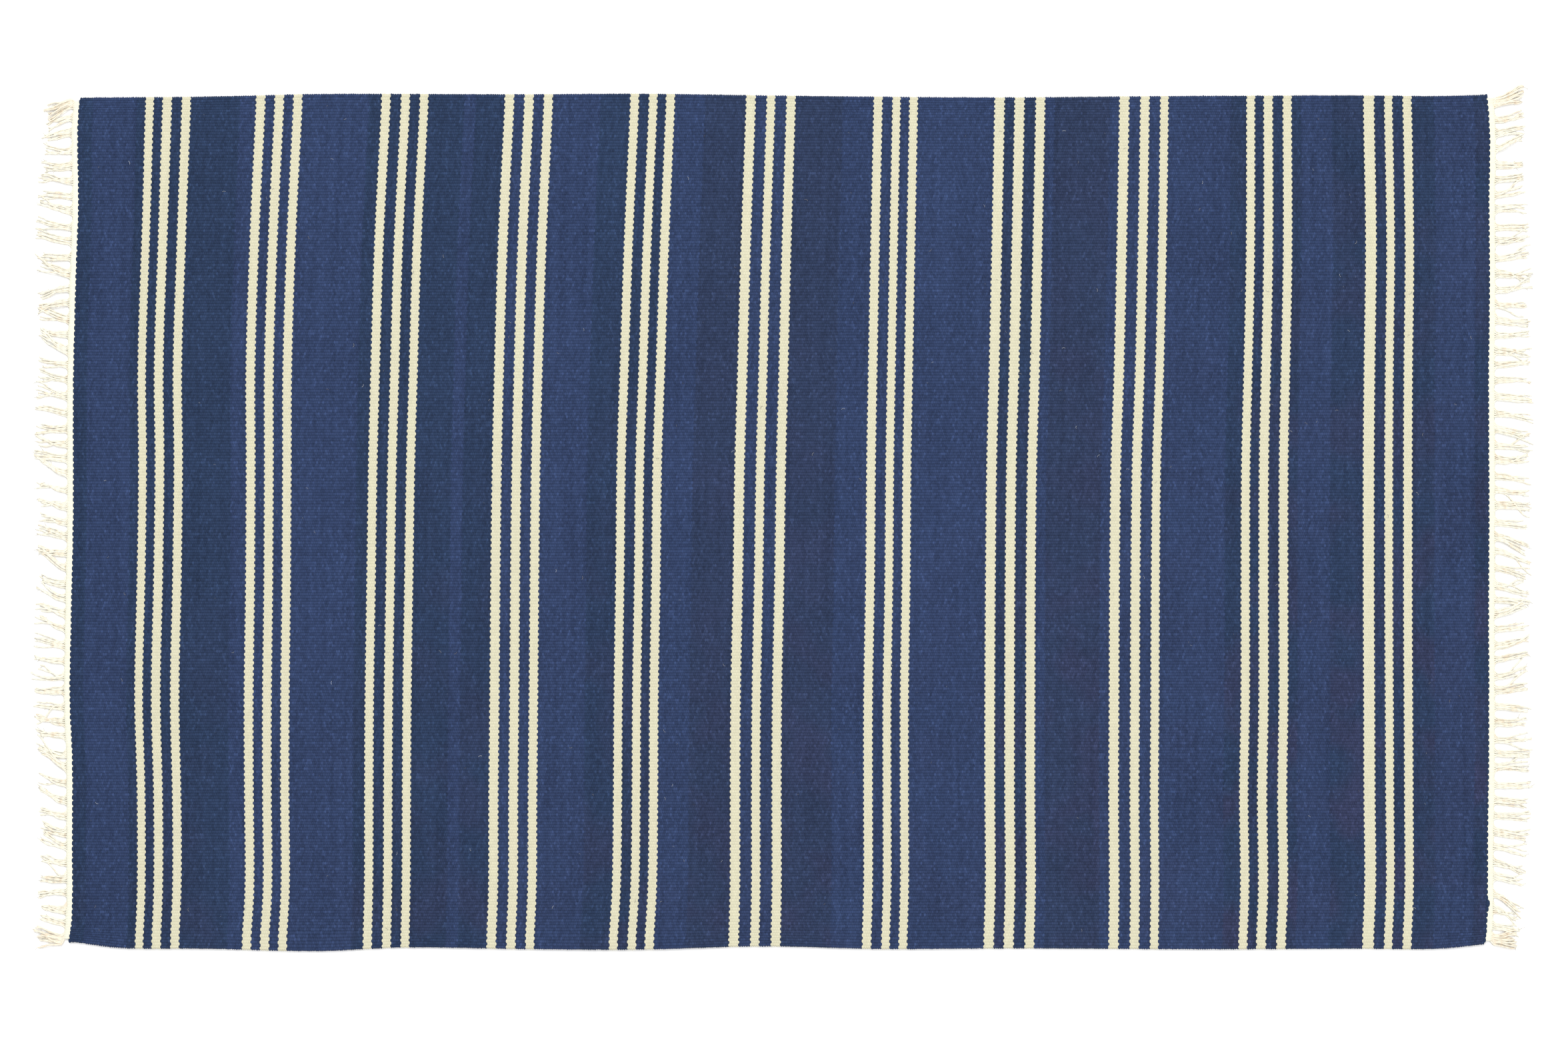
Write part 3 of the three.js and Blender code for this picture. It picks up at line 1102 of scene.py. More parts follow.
@dataclass
class WovenField:
    """The field: one closed cloth, ribbed on its face."""

    cloth: Cloth
    plan: WeftPlan
    shoulder: float = 0.3
    selvedge_height: float = 1.7 * MM
    selvedge_tuck: float = 0.7 * MM
    end_height: float = 2.65 * MM
    underside_rows: int = 60
    widest_column: float = 44.0

    def rows(self) -> tuple[np.ndarray, np.ndarray]:
        """The rib counts and heights of the face's rows, from the near to the far side."""
        cloth = self.cloth
        shares = np.array([0, self.shoulder, 1 - self.shoulder])
        heights = np.array([cloth.rib_valley, cloth.rib_top, cloth.rib_top])
        ribs = (np.arange(cloth.ribs)[:, None] + shares).ravel()
        height = np.tile(heights, cloth.ribs)
        height[0] = self.selvedge_height
        return np.append(ribs, cloth.ribs), np.append(height, self.selvedge_height)

    def grid(self, ribs: np.ndarray, height: np.ndarray, tuck: float) -> Grid:
        """One face of the cloth. The upper one, which has no tuck, falls off at its two ends.

        Args:
            ribs: the rib count of each row.
            height: each row's height over the cloth's underside.
            tuck: how far the outermost rows stand in from the sides.

        Returns:
            The grid of its points.
        """
        cloth = self.cloth
        columns = self.plan.columns(self.widest_column)
        u, v = np.meshgrid(self.plan.where(columns), ribs * cloth.rib - cloth.width / 2)
        x, y = cloth.place(u, v)
        y[0] += tuck
        y[-1] -= tuck
        picks = np.tile(columns, (len(ribs), 1))
        z = cloth.lift(x, y) + height[:, None]
        if not tuck:
            z[:, [0, -1]] += self.end_height - cloth.rib_top
        return Grid(x, y, z, picks, np.tile(ribs[:, None], (1, len(columns))))

    def edges(self, spans: Sequence[tuple[float, float]]) -> np.ndarray:
        """The two edges that count in each column interval, for the coloured spans."""
        columns = self.plan.columns(self.widest_column)
        middles = (columns[1:] + columns[:-1]) / 2
        return np.array([self.plan.nearest(spans, middle) for middle in middles])

    def build(self, wool: bpy.types.Material) -> bpy.types.Object:
        """Builds and dresses the field."""
        ribs, height = self.rows()
        upper = self.grid(ribs, height, 0)
        low_ribs = np.linspace(0, self.cloth.ribs, self.underside_rows + 1)
        lower = self.grid(low_ribs, np.zeros_like(low_ribs), self.selvedge_tuck)
        spans = {"Stripe": self.plan.stripes, "Royal": self.plan.royals, "Plum": self.plan.plums}
        maps = {name: self.edges(span) for name, span in spans.items()}
        piece = ClothMesh(upper, lower).make("woven_wool", maps)
        piece.data.materials.append(wool)
        settle(piece, "wool_field", "woven_field")
        return piece


@dataclass
class Heading:
    """The cotton heading at one end: a few tight picks that lock the wool.

    The stations are its columns outwards from the field, as shares of its width, and the slope
    is how far its top stands over or under its full height at the overlap and at each station,
    in mm.
    """

    cloth: Cloth
    end: End
    width: float = 7.2 * MM
    overlap: float = 1.6 * MM
    picks: float = 6.0
    bare_ribs: int = 1
    shoulder: float = 0.3
    top: float = 2.75 * MM
    dip: float = 0.3 * MM
    side_drop: float = 1.2 * MM
    stations: tuple[float, ...] = (0.1, 0.5, 0.88, 1.0)
    slope: tuple[float, ...] = (-1.1, -0.15, 0.05, -0.2, -1.4)
    wander: float = 0.45 * MM
    underside_rows: int = 60

    def edge(self, v: np.ndarray, out: float) -> tuple[np.ndarray, np.ndarray]:
        """Points that stand outwards from the field's end by a distance.

        Args:
            v: places across the rug.
            out: the distance, negative under the field.

        Returns:
            Their x and y in the frame.
        """
        side = self.end.value
        x, y = self.cloth.place(np.full_like(v, side * self.cloth.length / 2), v)
        return x + side * out, y

    def grid(self, ribs: np.ndarray, heights: np.ndarray) -> Grid:
        """One face of the heading, with a height for each row and column."""
        v = ribs * self.cloth.rib - self.cloth.width / 2
        outs = np.array([-self.overlap, *(share * self.width for share in self.stations)])
        if self.end is End.LEFT:
            outs = outs[::-1]
            heights = heights[:, ::-1]
        x, y = (np.stack(part, axis=1) for part in zip(*(self.edge(v, out) for out in outs)))
        wander = np.interp(np.abs(outs), [0, self.width], [0, self.wander])
        x = x + wander * scatter(np.floor(ribs / 2), Series.WANDER, self.end)[:, None]
        z = self.cloth.lift(x, y) + heights
        picks = np.tile(outs / self.width * self.picks, (len(ribs), 1))
        return Grid(x, y, z, picks, np.tile(ribs[:, None], (1, len(outs))))

    def build(self, cotton: bpy.types.Material) -> bpy.types.Object:
        """Builds and dresses the heading."""
        shares = np.array([0, self.shoulder, 1 - self.shoulder])
        count = self.cloth.ribs - 2 * self.bare_ribs
        ribs = np.append((np.arange(count)[:, None] + shares).ravel(), count) + self.bare_ribs
        profile = np.append(np.tile([-self.dip, 0, 0], count), -self.dip)
        profile[[0, -1]] = -self.side_drop
        slope = self.top + np.array(self.slope) * MM
        upper = self.grid(ribs, profile[:, None] + slope)
        low_ribs = np.linspace(ribs[0], ribs[-1], self.underside_rows + 1)
        lower = self.grid(low_ribs, np.zeros((len(low_ribs), len(slope))))
        piece = ClothMesh(upper, lower).make(f"heading_{self.end.label}")
        piece.data.materials.append(cotton)
        settle(piece, "cotton_fringe", f"fringe_{self.end.label}")
        return piece


@dataclass
class Strand:
    """One yarn or wisp: its points, and at each of them its thickness and its tint."""

    points: np.ndarray
    thickness: np.ndarray
    tint: float


class NodeSweep:
    """A Geometry Nodes tree, run once on an object and then applied as a plain mesh."""

    def __init__(self, name: str) -> None:
        """Starts the tree with a geometry input and output.

        Args:
            name: the tree's name.
        """
        self.tree = bpy.data.node_groups.new(name, "GeometryNodeTree")
        self.graph = Graph(self.tree)
        self.tree.interface.new_socket("Geometry", in_out="INPUT", socket_type="NodeSocketGeometry")
        self.tree.interface.new_socket("Geometry", in_out="OUTPUT", socket_type="NodeSocketGeometry")
        self.values: dict[str, Any] = {}
        self.start: bpy.types.Node | None = None

    def sizes(self, **values: float | int) -> None:
        """Adds named inputs for the tree's sizes, with the values that this piece has."""
        kinds = {int: "NodeSocketInt", float: "NodeSocketFloat"}
        for name, value in values.items():
            made = self.tree.interface.new_socket(
                name, in_out="INPUT", socket_type=kinds[type(value)]
            )
            self.values[made.identifier] = value
        self.start = self.graph.node("NodeGroupInput")

    def given(self, name: str) -> bpy.types.NodeSocket:
        """One of the tree's inputs."""
        return self.start.outputs[name]

    def add(
        self,
        kind: str,
        settings: Mapping[str, Any] | None = None,
        inputs: Mapping[str | int, Any] | None = None,
    ) -> bpy.types.NodeSocket:
        """Adds a node and returns its first output."""
        return self.graph.node(kind, settings, inputs).outputs[0]

    def chance_between(self, low: float, high: float, seed: int) -> bpy.types.NodeSocket:
        """A random number between two others for each point."""
        inputs = {2: low, 3: high, "Seed": seed}
        made = self.graph.node("FunctionNodeRandomValue", {"data_type": "FLOAT"}, inputs)
        return made.outputs[1]

    def named(self, name: str, kind: str = "FLOAT") -> bpy.types.NodeSocket:
        """A named attribute of the geometry that reaches the node it is linked to."""
        return self.add("GeometryNodeInputNamedAttribute", {"data_type": kind}, {"Name": name})

    def store(
        self, geometry: bpy.types.NodeSocket, name: str, value: Any, kind: str = "FLOAT"
    ) -> bpy.types.NodeSocket:
        """Stores a value under a name on the geometry's points."""
        inputs = {0: geometry, "Name": name, "Value": value}
        settings = {"data_type": kind, "domain": "POINT"}
        return self.add("GeometryNodeStoreNamedAttribute", settings, inputs)

    def ring(self, sides: Any, radius: Any) -> bpy.types.NodeSocket:
        """A round section with a number of sides."""
        inputs = {"Resolution": sides, "Radius": radius}
        return self.add("GeometryNodeCurvePrimitiveCircle", {"mode": "RADIUS"}, inputs)

    def tube(
        self, curve: bpy.types.NodeSocket, ring: bpy.types.NodeSocket, scale: Any = 1.0
    ) -> bpy.types.NodeSocket:
        """A ring swept along a curve and closed at both ends."""
        inputs = {0: curve, 1: ring, "Scale": scale, "Fill Caps": True}
        return self.add("GeometryNodeCurveToMesh", {}, inputs)

    def strew(
        self,
        points: bpy.types.NodeSocket,
        instance: bpy.types.NodeSocket,
        scale: Any,
        turn: Any = (0.0, 0.0, 0.0),
    ) -> bpy.types.NodeSocket:
        """Puts an instance on each point.

        Args:
            points: where the instances go.
            instance: the geometry of each.
            scale: how large each is, as one number or three.
            turn: how each is turned, as three angles.

        Returns:
            The instances.
        """
        rotation = self.add("FunctionNodeEulerToRotation", {}, {0: turn})
        inputs = {"Points": points, "Instance": instance, "Rotation": rotation, "Scale": scale}
        return self.add("GeometryNodeInstanceOnPoints", {}, inputs)

    def finish(self, geometry: bpy.types.NodeSocket, material: bpy.types.Material) -> None:
        """Ends the tree in Realize Instances and Set Material."""
        real = self.add("GeometryNodeRealizeInstances", {}, {0: geometry})
        smooth = self.add("GeometryNodeSetShadeSmooth", {}, {0: real})
        dressed = self.add("GeometryNodeSetMaterial", {}, {0: smooth, "Material": material})
        self.graph.node("NodeGroupOutput", {}, {0: dressed})

    def run(self, source: bpy.types.Object, name: str) -> bpy.types.Object:
        """Runs the tree on an object, and removes the object.

        Args:
            source: the object with the geometry that the tree starts from.
            name: the name of the piece that it makes.

        Returns:
            The piece, a plain mesh without modifiers.
        """
        modifier = source.modifiers.new("sweep", "NODES")
        modifier.node_group = self.tree
        for identifier, value in self.values.items():
            modifier[identifier] = value
        graph = bpy.context.evaluated_depsgraph_get()
        mesh = bpy.data.meshes.new_from_object(source.evaluated_get(graph), depsgraph=graph)
        mesh.name = name
        bpy.data.objects.remove(source)
        return link_piece(name, mesh)


def marked_points(
    name: str,
    points: Sequence[Sequence[float]],
    edges: Sequence[tuple[int, int]] = (),
    **marks: Sequence[float],
) -> bpy.types.Object:
    """Makes an object of bare points or lines, with a number on each point for each mark.

    Args:
        name: the object's name.
        points: where the points are.
        edges: the lines between them, as pairs of point numbers.
        marks: the numbers by the attribute's name, one for each point.

    Returns:
        The object, linked to the scene.
    """
    mesh = bpy.data.meshes.new(name)
    mesh.from_pydata(points, edges, [])
    for label, values in marks.items():
        mesh.attributes.new(label, "FLOAT", "POINT").data.foreach_set("value", values)
    return link_piece(name, mesh)


def line_mesh(name: str, strands: Sequence[Strand]) -> bpy.types.Object:
    """Makes an object of bare lines, one for each strand, with what a sweep needs.

    Args:
        name: the object's name.
        strands: the strands.

    Returns:
        The object, whose points carry thickness and tint.
    """
    points, edges, thickness, tint = [], [], [], []
    for strand in strands:
        first = len(points)
        count = len(strand.points)
        points += strand.points.tolist()
        edges += [(first + i, first + i + 1) for i in range(count - 1)]
        thickness += list(strand.thickness)
        tint += [strand.tint] * count
    return marked_points(name, points, edges, thickness=thickness, tint=tint)


def sweep_yarn(
    name: str, lines: bpy.types.Object, sides: int, cotton: bpy.types.Material
) -> bpy.types.Object:
    """Sweeps a round section along bare lines, and notes the run and the place round the yarn.

    Args:
        name: the piece's name.
        lines: the object of bare lines.
        sides: how many sides the section has.
        cotton: the yarn's material.

    Returns:
        The piece.
    """
    sweep = NodeSweep(f"{name}_sweep")
    sweep.sizes(Sides=sides, Section=1.0)
    curve = sweep.add("GeometryNodeMeshToCurve", {}, {0: sweep.given("Geometry")})
    ring = sweep.ring(sweep.given("Sides"), sweep.given("Section"))
    spline = sweep.graph.node("GeometryNodeSplineParameter")
    curve = sweep.store(curve, "run", spline.outputs["Length"])
    angle = Value(sweep.graph, spline.outputs["Factor"]) * (2 * math.pi)
    ring = sweep.store(ring, "east", angle.cosine())
    ring = sweep.store(ring, "north", angle.sine())
    body = sweep.tube(curve, ring, sweep.named("thickness"))
    parts = sweep.graph.vector(*(sweep.named(part) for part in ("run", "east", "north")))
    sweep.finish(sweep.store(body, "yarn", parts, "FLOAT_VECTOR"), cotton)
    return sweep.run(lines, name)


class YarnPath(NamedTuple):
    """The way that one yarn takes in its tassel, in metres.

    The root and the tip are the tassel's places across the rug, and the lanes are the yarn's
    own distance from the tassel's middle. A yarn that is over lies on its neighbours.
    """

    root: float
    tip: float
    curl: float
    root_lane: float
    tip_lane: float
    reach: float
    is_over: bool


@dataclass
class Fringe:
    """The warp ends beyond one heading, which hang together in small tassels.

    A stack, over, corner_heap and the floor gaps count in thicknesses of yarn. The fields
    called _from say where along a yarn something rises, as shares of its length, and those
    called _waves how many radians of a wave it has. The wisps' lengths and radii are in mm.
    """

    cloth: Cloth
    heading: Heading
    tassels: int = 55
    yarn: float = 0.88 * MM
    lane: float = 1.42 * MM
    root_jitter: float = 2.0 * MM
    lean_jitter: float = 4.0 * MM
    reach_jitter: float = 3.2 * MM
    curl: float = 1.6 * MM
    hook: float = 2.0 * MM
    gather: tuple[float, float] = (-2.0 * MM, 2.8 * MM)
    root_height: float = 1.45 * MM
    root_depth: float = 2.5 * MM
    steps: int = 15
    sides: int = 6
    spreads: tuple[float, float] = (0.75, 1.35)
    swap_share: float = 0.3
    reach_spread: float = 1.3 * MM
    crowding: float = 1.15
    bend_end: float = 1.3
    fan_from: tuple[float, float] = (0.3, 0.95)
    sways: tuple[float, float] = (0.34 * MM, 0.2 * MM)
    sway_waves: tuple[float, float] = (7.0, 15.0)
    sway_at_root: float = 0.4
    stacks: tuple[float, ...] = (0.0, 0.0, 0.9, 1.3)
    over: float = 1.9
    heap_reach: float = 1.15
    heap_roundness: float = 0.8
    descent: tuple[float, float] = (-1 * MM, 6 * MM)
    rest: float = 0.94
    ripple: float = 0.15 * MM
    ripple_waves: float = 11.0
    thickness: tuple[float, float] = (0.86, 1.12)
    taper: float = 0.3
    taper_from: float = 0.86
    swell: float = 0.08
    swell_waves: float = 19.0
    floor_gap: float = 1.08
    tint: float = 0.22
    corner_extra: int = 5
    corner_fan: float = 1.9
    corner_lanes: float = 0.75
    corner_heap: float = 2.2
    corner_heap_from: tuple[float, float] = (0.1, 0.4)
    corner_tint: float = 0.8
    tint_spread: float = 0.2
    fly_share: float = 0.18
    fly: float = 6.0 * MM
    most_wisps: int = 2
    wisp_points: int = 6
    wisp_zone: int = 6
    wisp_length: tuple[float, float] = (2.5, 7.0)
    wisp_radius: tuple[float, float] = (0.13, 0.34)
    wisp_slant: float = 0.32
    wisp_turn: float = 0.35
    wisp_drop: float = 0.4 * MM
    wisp_taper: tuple[float, float] = (1.1, 0.5)
    wisp_tint: float = 0.6
    wisp_floor_gap: float = 1.12
    seed: int = 5

    def __post_init__(self) -> None:
        """Draws the curves of how the fringe is combed."""
        self.end = self.heading.end
        rows = [row._asdict() for row in COMBED]
        places = [row["y"] * MM for row in rows]
        name = self.end.label
        self.lean = smooth_through(places, [row[f"{name}_lean"] * MM for row in rows])
        self.reach = smooth_through(places, [row[f"{name}_reach"] * MM for row in rows])
        self.strays = LEFT_STRAYS if self.end is End.LEFT else RIGHT_STRAYS
        self.rng = np.random.default_rng(self.seed + self.end.value)

    def warps(self, tassel: int) -> list[float]:
        """The rib counts of the warps that one tassel takes in."""
        ribs = self.cloth.ribs
        own = [k + 0.5 for k in range(ribs) if (k * self.tassels) // ribs == tassel]
        if tassel in (0, self.tassels - 1):
            own += list(np.linspace(own[0], own[-1], self.corner_extra))
        bare = self.heading.bare_ribs + 0.5
        return list(np.clip(own, bare, ribs - bare))

    def stray(self, y: float) -> float:
        """The extra lean of a tassel at that place, where it was brushed aside."""
        pitch = self.cloth.width / self.tassels
        return sum(s.lean * MM for s in self.strays if abs(s.y * MM - y) < pitch / 2)

    def tassel(self, number: int) -> list[Strand]:
        """The yarns of one tassel.

        Args:
            number: the tassel's number, from the near side.

        Returns:
            A strand for each yarn, and for the wisps at its tip.
        """
        is_corner = number in (0, self.tassels - 1)
        half = self.cloth.width / 2
        jitter = 0 if is_corner else self.root_jitter * scatter(number, Series.ROOT, self.end)
        root = (2 * (number + 0.5) / self.tassels - 1) * half + jitter
        brushed = self.stray(root)
        lean = self.lean_jitter * scatter(number, Series.LEAN, self.end)
        tip = root + self.lean(root) + lean + brushed
        curl = self.curl * scatter(number, Series.CURL, self.end)
        own = self.warps(number)
        lanes = (np.arange(len(own)) - (len(own) - 1) / 2) * self.lane
        spread = self.rng.uniform(*self.spreads)
        if is_corner:
            lanes *= self.corner_lanes
            spread = self.corner_fan
        swapped = range(len(own))
        if self.rng.random() < self.swap_share:
            swapped = self.rng.permutation(len(own))
        strands = []
        for j, warp in enumerate(own):
            finish = lanes[swapped[j]] * spread
            if self.rng.random() < self.fly_share:
                finish += self.rng.normal(0, self.fly)
            item = 2 * number + (1 if j >= len(own) / 2 else 0)
            reach = self.reach(root) + self.reach_jitter * scatter(item, Series.REACH, self.end)
            reach += self.rng.normal(0, self.reach_spread)
            path = YarnPath(root, tip, curl, lanes[j], finish, reach, abs(brushed) > 0)
            strands += self.yarn_strands(warp, path, is_corner)
        return strands

    def yarn_strands(self, warp: float, path: YarnPath, is_corner: bool) -> list[Strand]:
        """One yarn from its warp to its tip, with its wisps.

        Args:
            warp: the rib count of its warp.
            path: the way that it takes.
            is_corner: whether it is in a corner tassel.

        Returns:
            The yarn's strand first, then its wisps.
        """
        rng = self.rng
        share = np.linspace(0, 1, self.steps) ** self.crowding
        v = np.full(1, warp * self.cloth.rib - self.cloth.width / 2)
        edge_x, edge_y = (float(part[0]) for part in self.heading.edge(v, self.heading.width))
        depth = self.root_depth
        out = share * (path.reach + depth) - depth
        bend = smoothstep(share, 0, self.bend_end) / smoothstep(np.array(1.0), 0, self.bend_end)
        fanned = smoothstep(share, *self.fan_from)
        lane = path.root_lane + (path.tip_lane - path.root_lane) * fanned
        middle = path.root + (path.tip - path.root) * bend + path.curl * np.sin(math.pi * share)
        middle = middle + self.cloth.shift.y + rng.normal(0, self.hook) * share**4
        phases = rng.uniform(0, 2 * math.pi, 3)
        slow, quick = (
            size * np.sin(share * waves + phase)
            for size, waves, phase in zip(self.sways, self.sway_waves, phases)
        )
        sway = (slow + quick) * (self.sway_at_root + share)
        gathered = smoothstep(out, *self.gather)
        y = edge_y + (middle + lane + sway - edge_y) * gathered
        stack = rng.choice(self.stacks) * self.yarn
        over = self.over * self.yarn if path.is_over else 0.0
        hump = np.sin(math.pi * np.clip(share * self.heap_reach, 0, 1)) ** self.heap_roundness
        heap = (stack + over) * hump
        if is_corner:
            rise = smoothstep(share, *self.corner_heap_from)
            heap = heap + rng.uniform(0, self.corner_heap) * self.yarn * rise
        radius = self.yarn * rng.uniform(*self.thickness)
        floor_z = radius * self.rest + heap
        z = self.root_height + (floor_z - self.root_height) * smoothstep(out, *self.descent)
        z = z + self.ripple * np.sin(share * self.ripple_waves + phases[2]) * share
        z = np.maximum(z, radius * self.floor_gap)
        points = np.stack([edge_x + self.end.value * out, y, z], axis=-1)
        taper = 1 - self.taper * smoothstep(share, self.taper_from, 1.0)
        swell = 1 + self.swell * np.sin(share * self.swell_waves + phases[1])
        mean = self.corner_tint if is_corner else self.tint
        tint = float(np.clip(rng.normal(mean, self.tint_spread), 0, 1))
        strand = Strand(points, radius * taper * swell, tint)
        return [strand, *self.wisps(strand)]

    def wisps(self, strand: Strand) -> list[Strand]:
        """Plies and fibres that have come loose from a yarn towards its tip."""
        made = []
        rng = self.rng
        for _ in range(rng.integers(0, self.most_wisps + 1)):
            start = rng.integers(self.steps - self.wisp_zone, self.steps - 1)
            base = strand.points[start]
            onward = strand.points[-1] - strand.points[-3]
            onward = onward / np.linalg.norm(onward)
            sideways = np.array([-onward[1], onward[0], 0])
            length = rng.uniform(*self.wisp_length) * MM
            slant = sideways * rng.normal(0, self.wisp_slant)
            turn = sideways * rng.normal(0, self.wisp_turn)
            share = np.linspace(0, 1, self.wisp_points)[:, None]
            points = base + length * (share * (onward + slant) + share**2 * turn)
            radius = rng.uniform(*self.wisp_radius) * MM
            lowered = points[:, 2] - self.wisp_drop * share[:, 0]
            points[:, 2] = np.maximum(lowered, self.wisp_floor_gap * radius)
            thickness = radius * np.linspace(*self.wisp_taper, self.wisp_points)
            made.append(Strand(points, thickness, float(rng.uniform(0, self.wisp_tint))))
        return made

    def build(self, cotton: bpy.types.Material) -> bpy.types.Object:
        """Builds and dresses the fringe."""
        strands = [s for number in range(self.tassels) for s in self.tassel(number)]
        name = f"tassels_{self.end.label}"
        lines = line_mesh(f"{name}_lines", strands)
        piece = sweep_yarn(name, lines, self.sides, cotton)
        settle(piece, "cotton_fringe", f"fringe_{self.end.label}")
        return piece


@dataclass
class Selvedges:
    """The two long sides, where each pair of wefts turns back round the outermost warp.

    A turn's rises are shares of its height, and its handles are shares of its bulge and height.
    """

    cloth: Cloth
    plan: WeftPlan
    height: float = 1.75 * MM
    yarn: float = 1.05 * MM
    bulge: float = 0.6 * MM
    inset: float = 2.6 * MM
    start_rise: float = 0.2
    start_handle: tuple[float, float] = (0.8, 0.8)
    end_handle: tuple[float, float] = (1.2, -0.4)
    end_rise: float = -0.25
    sizes: tuple[float, float] = (0.9, 1.1)
    jitter: float = 0.16 * MM
    side_jitter: float = 0.6
    spin: float = 0.09
    bends: int = 6
    sides: int = 5
    seed: int = 23

    def turns(self) -> bpy.types.Object:
        """Makes a point for each turn, with how it faces, its size and its dye."""
        rng = np.random.default_rng(self.seed)
        picks = np.arange(0, self.plan.total - 1, 2) + 0.5
        u = self.plan.where(picks)
        points, facing, size, dye = [], [], [], []
        for side in (-1, 1):
            offset = (1 - side) / 2
            v = np.full_like(u, side * self.cloth.width / 2)
            x, y = self.cloth.place(u, v)
            x = x + rng.normal(0, self.jitter, len(u))
            y = y + rng.normal(0, self.jitter * self.side_jitter, len(u))
            z = self.cloth.lift(x, y) + self.height
            points += np.stack([x, y, z], axis=-1).tolist()
            spin = rng.normal(math.pi * offset, self.spin, len(u))
            facing += np.stack([np.zeros_like(u), np.zeros_like(u), spin], axis=-1).tolist()
            size += rng.uniform(*self.sizes, len(u)).tolist()
            dye += [self.dye(pick) for pick in picks]
        made = marked_points("selvedge_turns", points, size=size, dye=dye)
        turned = made.data.attributes.new("facing", "FLOAT_VECTOR", "POINT")
        turned.data.foreach_set("vector", np.array(facing, np.float32).ravel())
        return made

    def dye(self, pick: float) -> float:
        """The dye of a turn: 0 for navy, 1 for royal and 2 for ecru."""
        if self.plan.is_in(self.plan.stripes, pick):
            return 2.0
        return 1.0 if self.plan.is_in(self.plan.royals, pick) else 0.0

    def build(self, wool: bpy.types.Material) -> bpy.types.Object:
        """Builds and dresses the turns of both sides."""
        sweep = NodeSweep("selvedge_turn")
        sweep.sizes(Yarn=self.yarn, Inset=-self.inset, Bulge=self.bulge, Height=self.height)
        yarn, inset, bulge, height = (
            Value(sweep.graph, sweep.given(name)) for name in ("Yarn", "Inset", "Bulge", "Height")
        )
        start_out, start_up = self.start_handle
        end_out, end_up = self.end_handle
        ends = {
            "Start": sweep.graph.vector(0.0, inset, height * self.start_rise),
            "Start Handle": sweep.graph.vector(0.0, bulge * start_out, height * start_up),
            "End Handle": sweep.graph.vector(0.0, bulge * end_out, height * end_up),
            "End": sweep.graph.vector(0.0, inset, height * self.end_rise),
            "Resolution": self.bends,
        }
        settings = {"mode": "POSITION"}
        bow = sweep.add("GeometryNodeCurvePrimitiveBezierSegment", settings, ends)
        turn = sweep.tube(bow, sweep.ring(self.sides, yarn))
        facing = sweep.named("facing", "FLOAT_VECTOR")
        sweep.finish(sweep.strew(sweep.given("Geometry"), turn, sweep.named("size"), facing), wool)
        piece = sweep.run(self.turns(), "selvedge_wefts")
        settle(piece, "wool_field", "woven_field")
        return piece


@dataclass
class EndFloats:
    """The floats of the first and the last weft, which stand out as lobes on every second rib.

    A slub, a thick place in the last weft, bulges at the right end.
    """

    cloth: Cloth
    plan: WeftPlan
    length: float = 5.7 * MM
    width: float = 3.1 * MM
    thickness: float = 1.7 * MM
    height: float = 2.25 * MM
    slub_at: float = -405 * MM
    slub_out: float = 1.4 * MM
    slub_reach: float = 4.5 * MM
    slub_swell: float = 0.6
    jitter: float = 0.12 * MM
    sizes: tuple[float, float] = (0.93, 1.05)
    segments: int = 10
    rings: int = 6
    seed: int = 31

    def places(self) -> bpy.types.Object:
        """Makes a point for each float, with its size and its dye."""
        rng = np.random.default_rng(self.seed)
        points, swells = [], []
        for end, pick in ((End.LEFT, 0), (End.RIGHT, self.plan.total - 1)):
            ribs = np.arange(pick % 2, self.cloth.ribs, 2) + 0.5
            v = ribs * self.cloth.rib - self.cloth.width / 2
            x, y = self.cloth.place(np.full_like(v, end.value * self.cloth.length / 2), v)
            slub = np.exp(-(((v - self.slub_at) / self.slub_reach) ** 2)) * (end is End.RIGHT)
            x = x + rng.normal(0, self.jitter, len(v)) + self.slub_out * slub
            z = self.cloth.lift(x, y) + self.height
            points += np.stack([x, y, z], axis=-1).tolist()
            swells += (1 + self.slub_swell * slub).tolist()
        sizes = rng.uniform(*self.sizes, len(points)) * swells
        return marked_points("end_float_places", points, size=sizes, dye=np.zeros(len(points)))

    def build(self, wool: bpy.types.Material) -> bpy.types.Object:
        """Builds and dresses the floats of both ends."""
        sweep = NodeSweep("end_float")
        sweep.sizes(Width=self.width, Length=self.length, Thickness=self.thickness)
        graph = sweep.graph
        ball = {"Segments": self.segments, "Rings": self.rings, "Radius": 0.5}
        lobe = sweep.add("GeometryNodeMeshUVSphere", {}, ball)
        scale = graph.vector(*(sweep.given(name) for name in ("Width", "Length", "Thickness")))
        lobe = sweep.add("GeometryNodeTransform", {}, {"Geometry": lobe, "Scale": scale})
        sweep.finish(sweep.strew(sweep.given("Geometry"), lobe, sweep.named("size")), wool)
        piece = sweep.run(self.places(), "end_floats")
        settle(piece, "wool_field", "woven_field")
        return piece


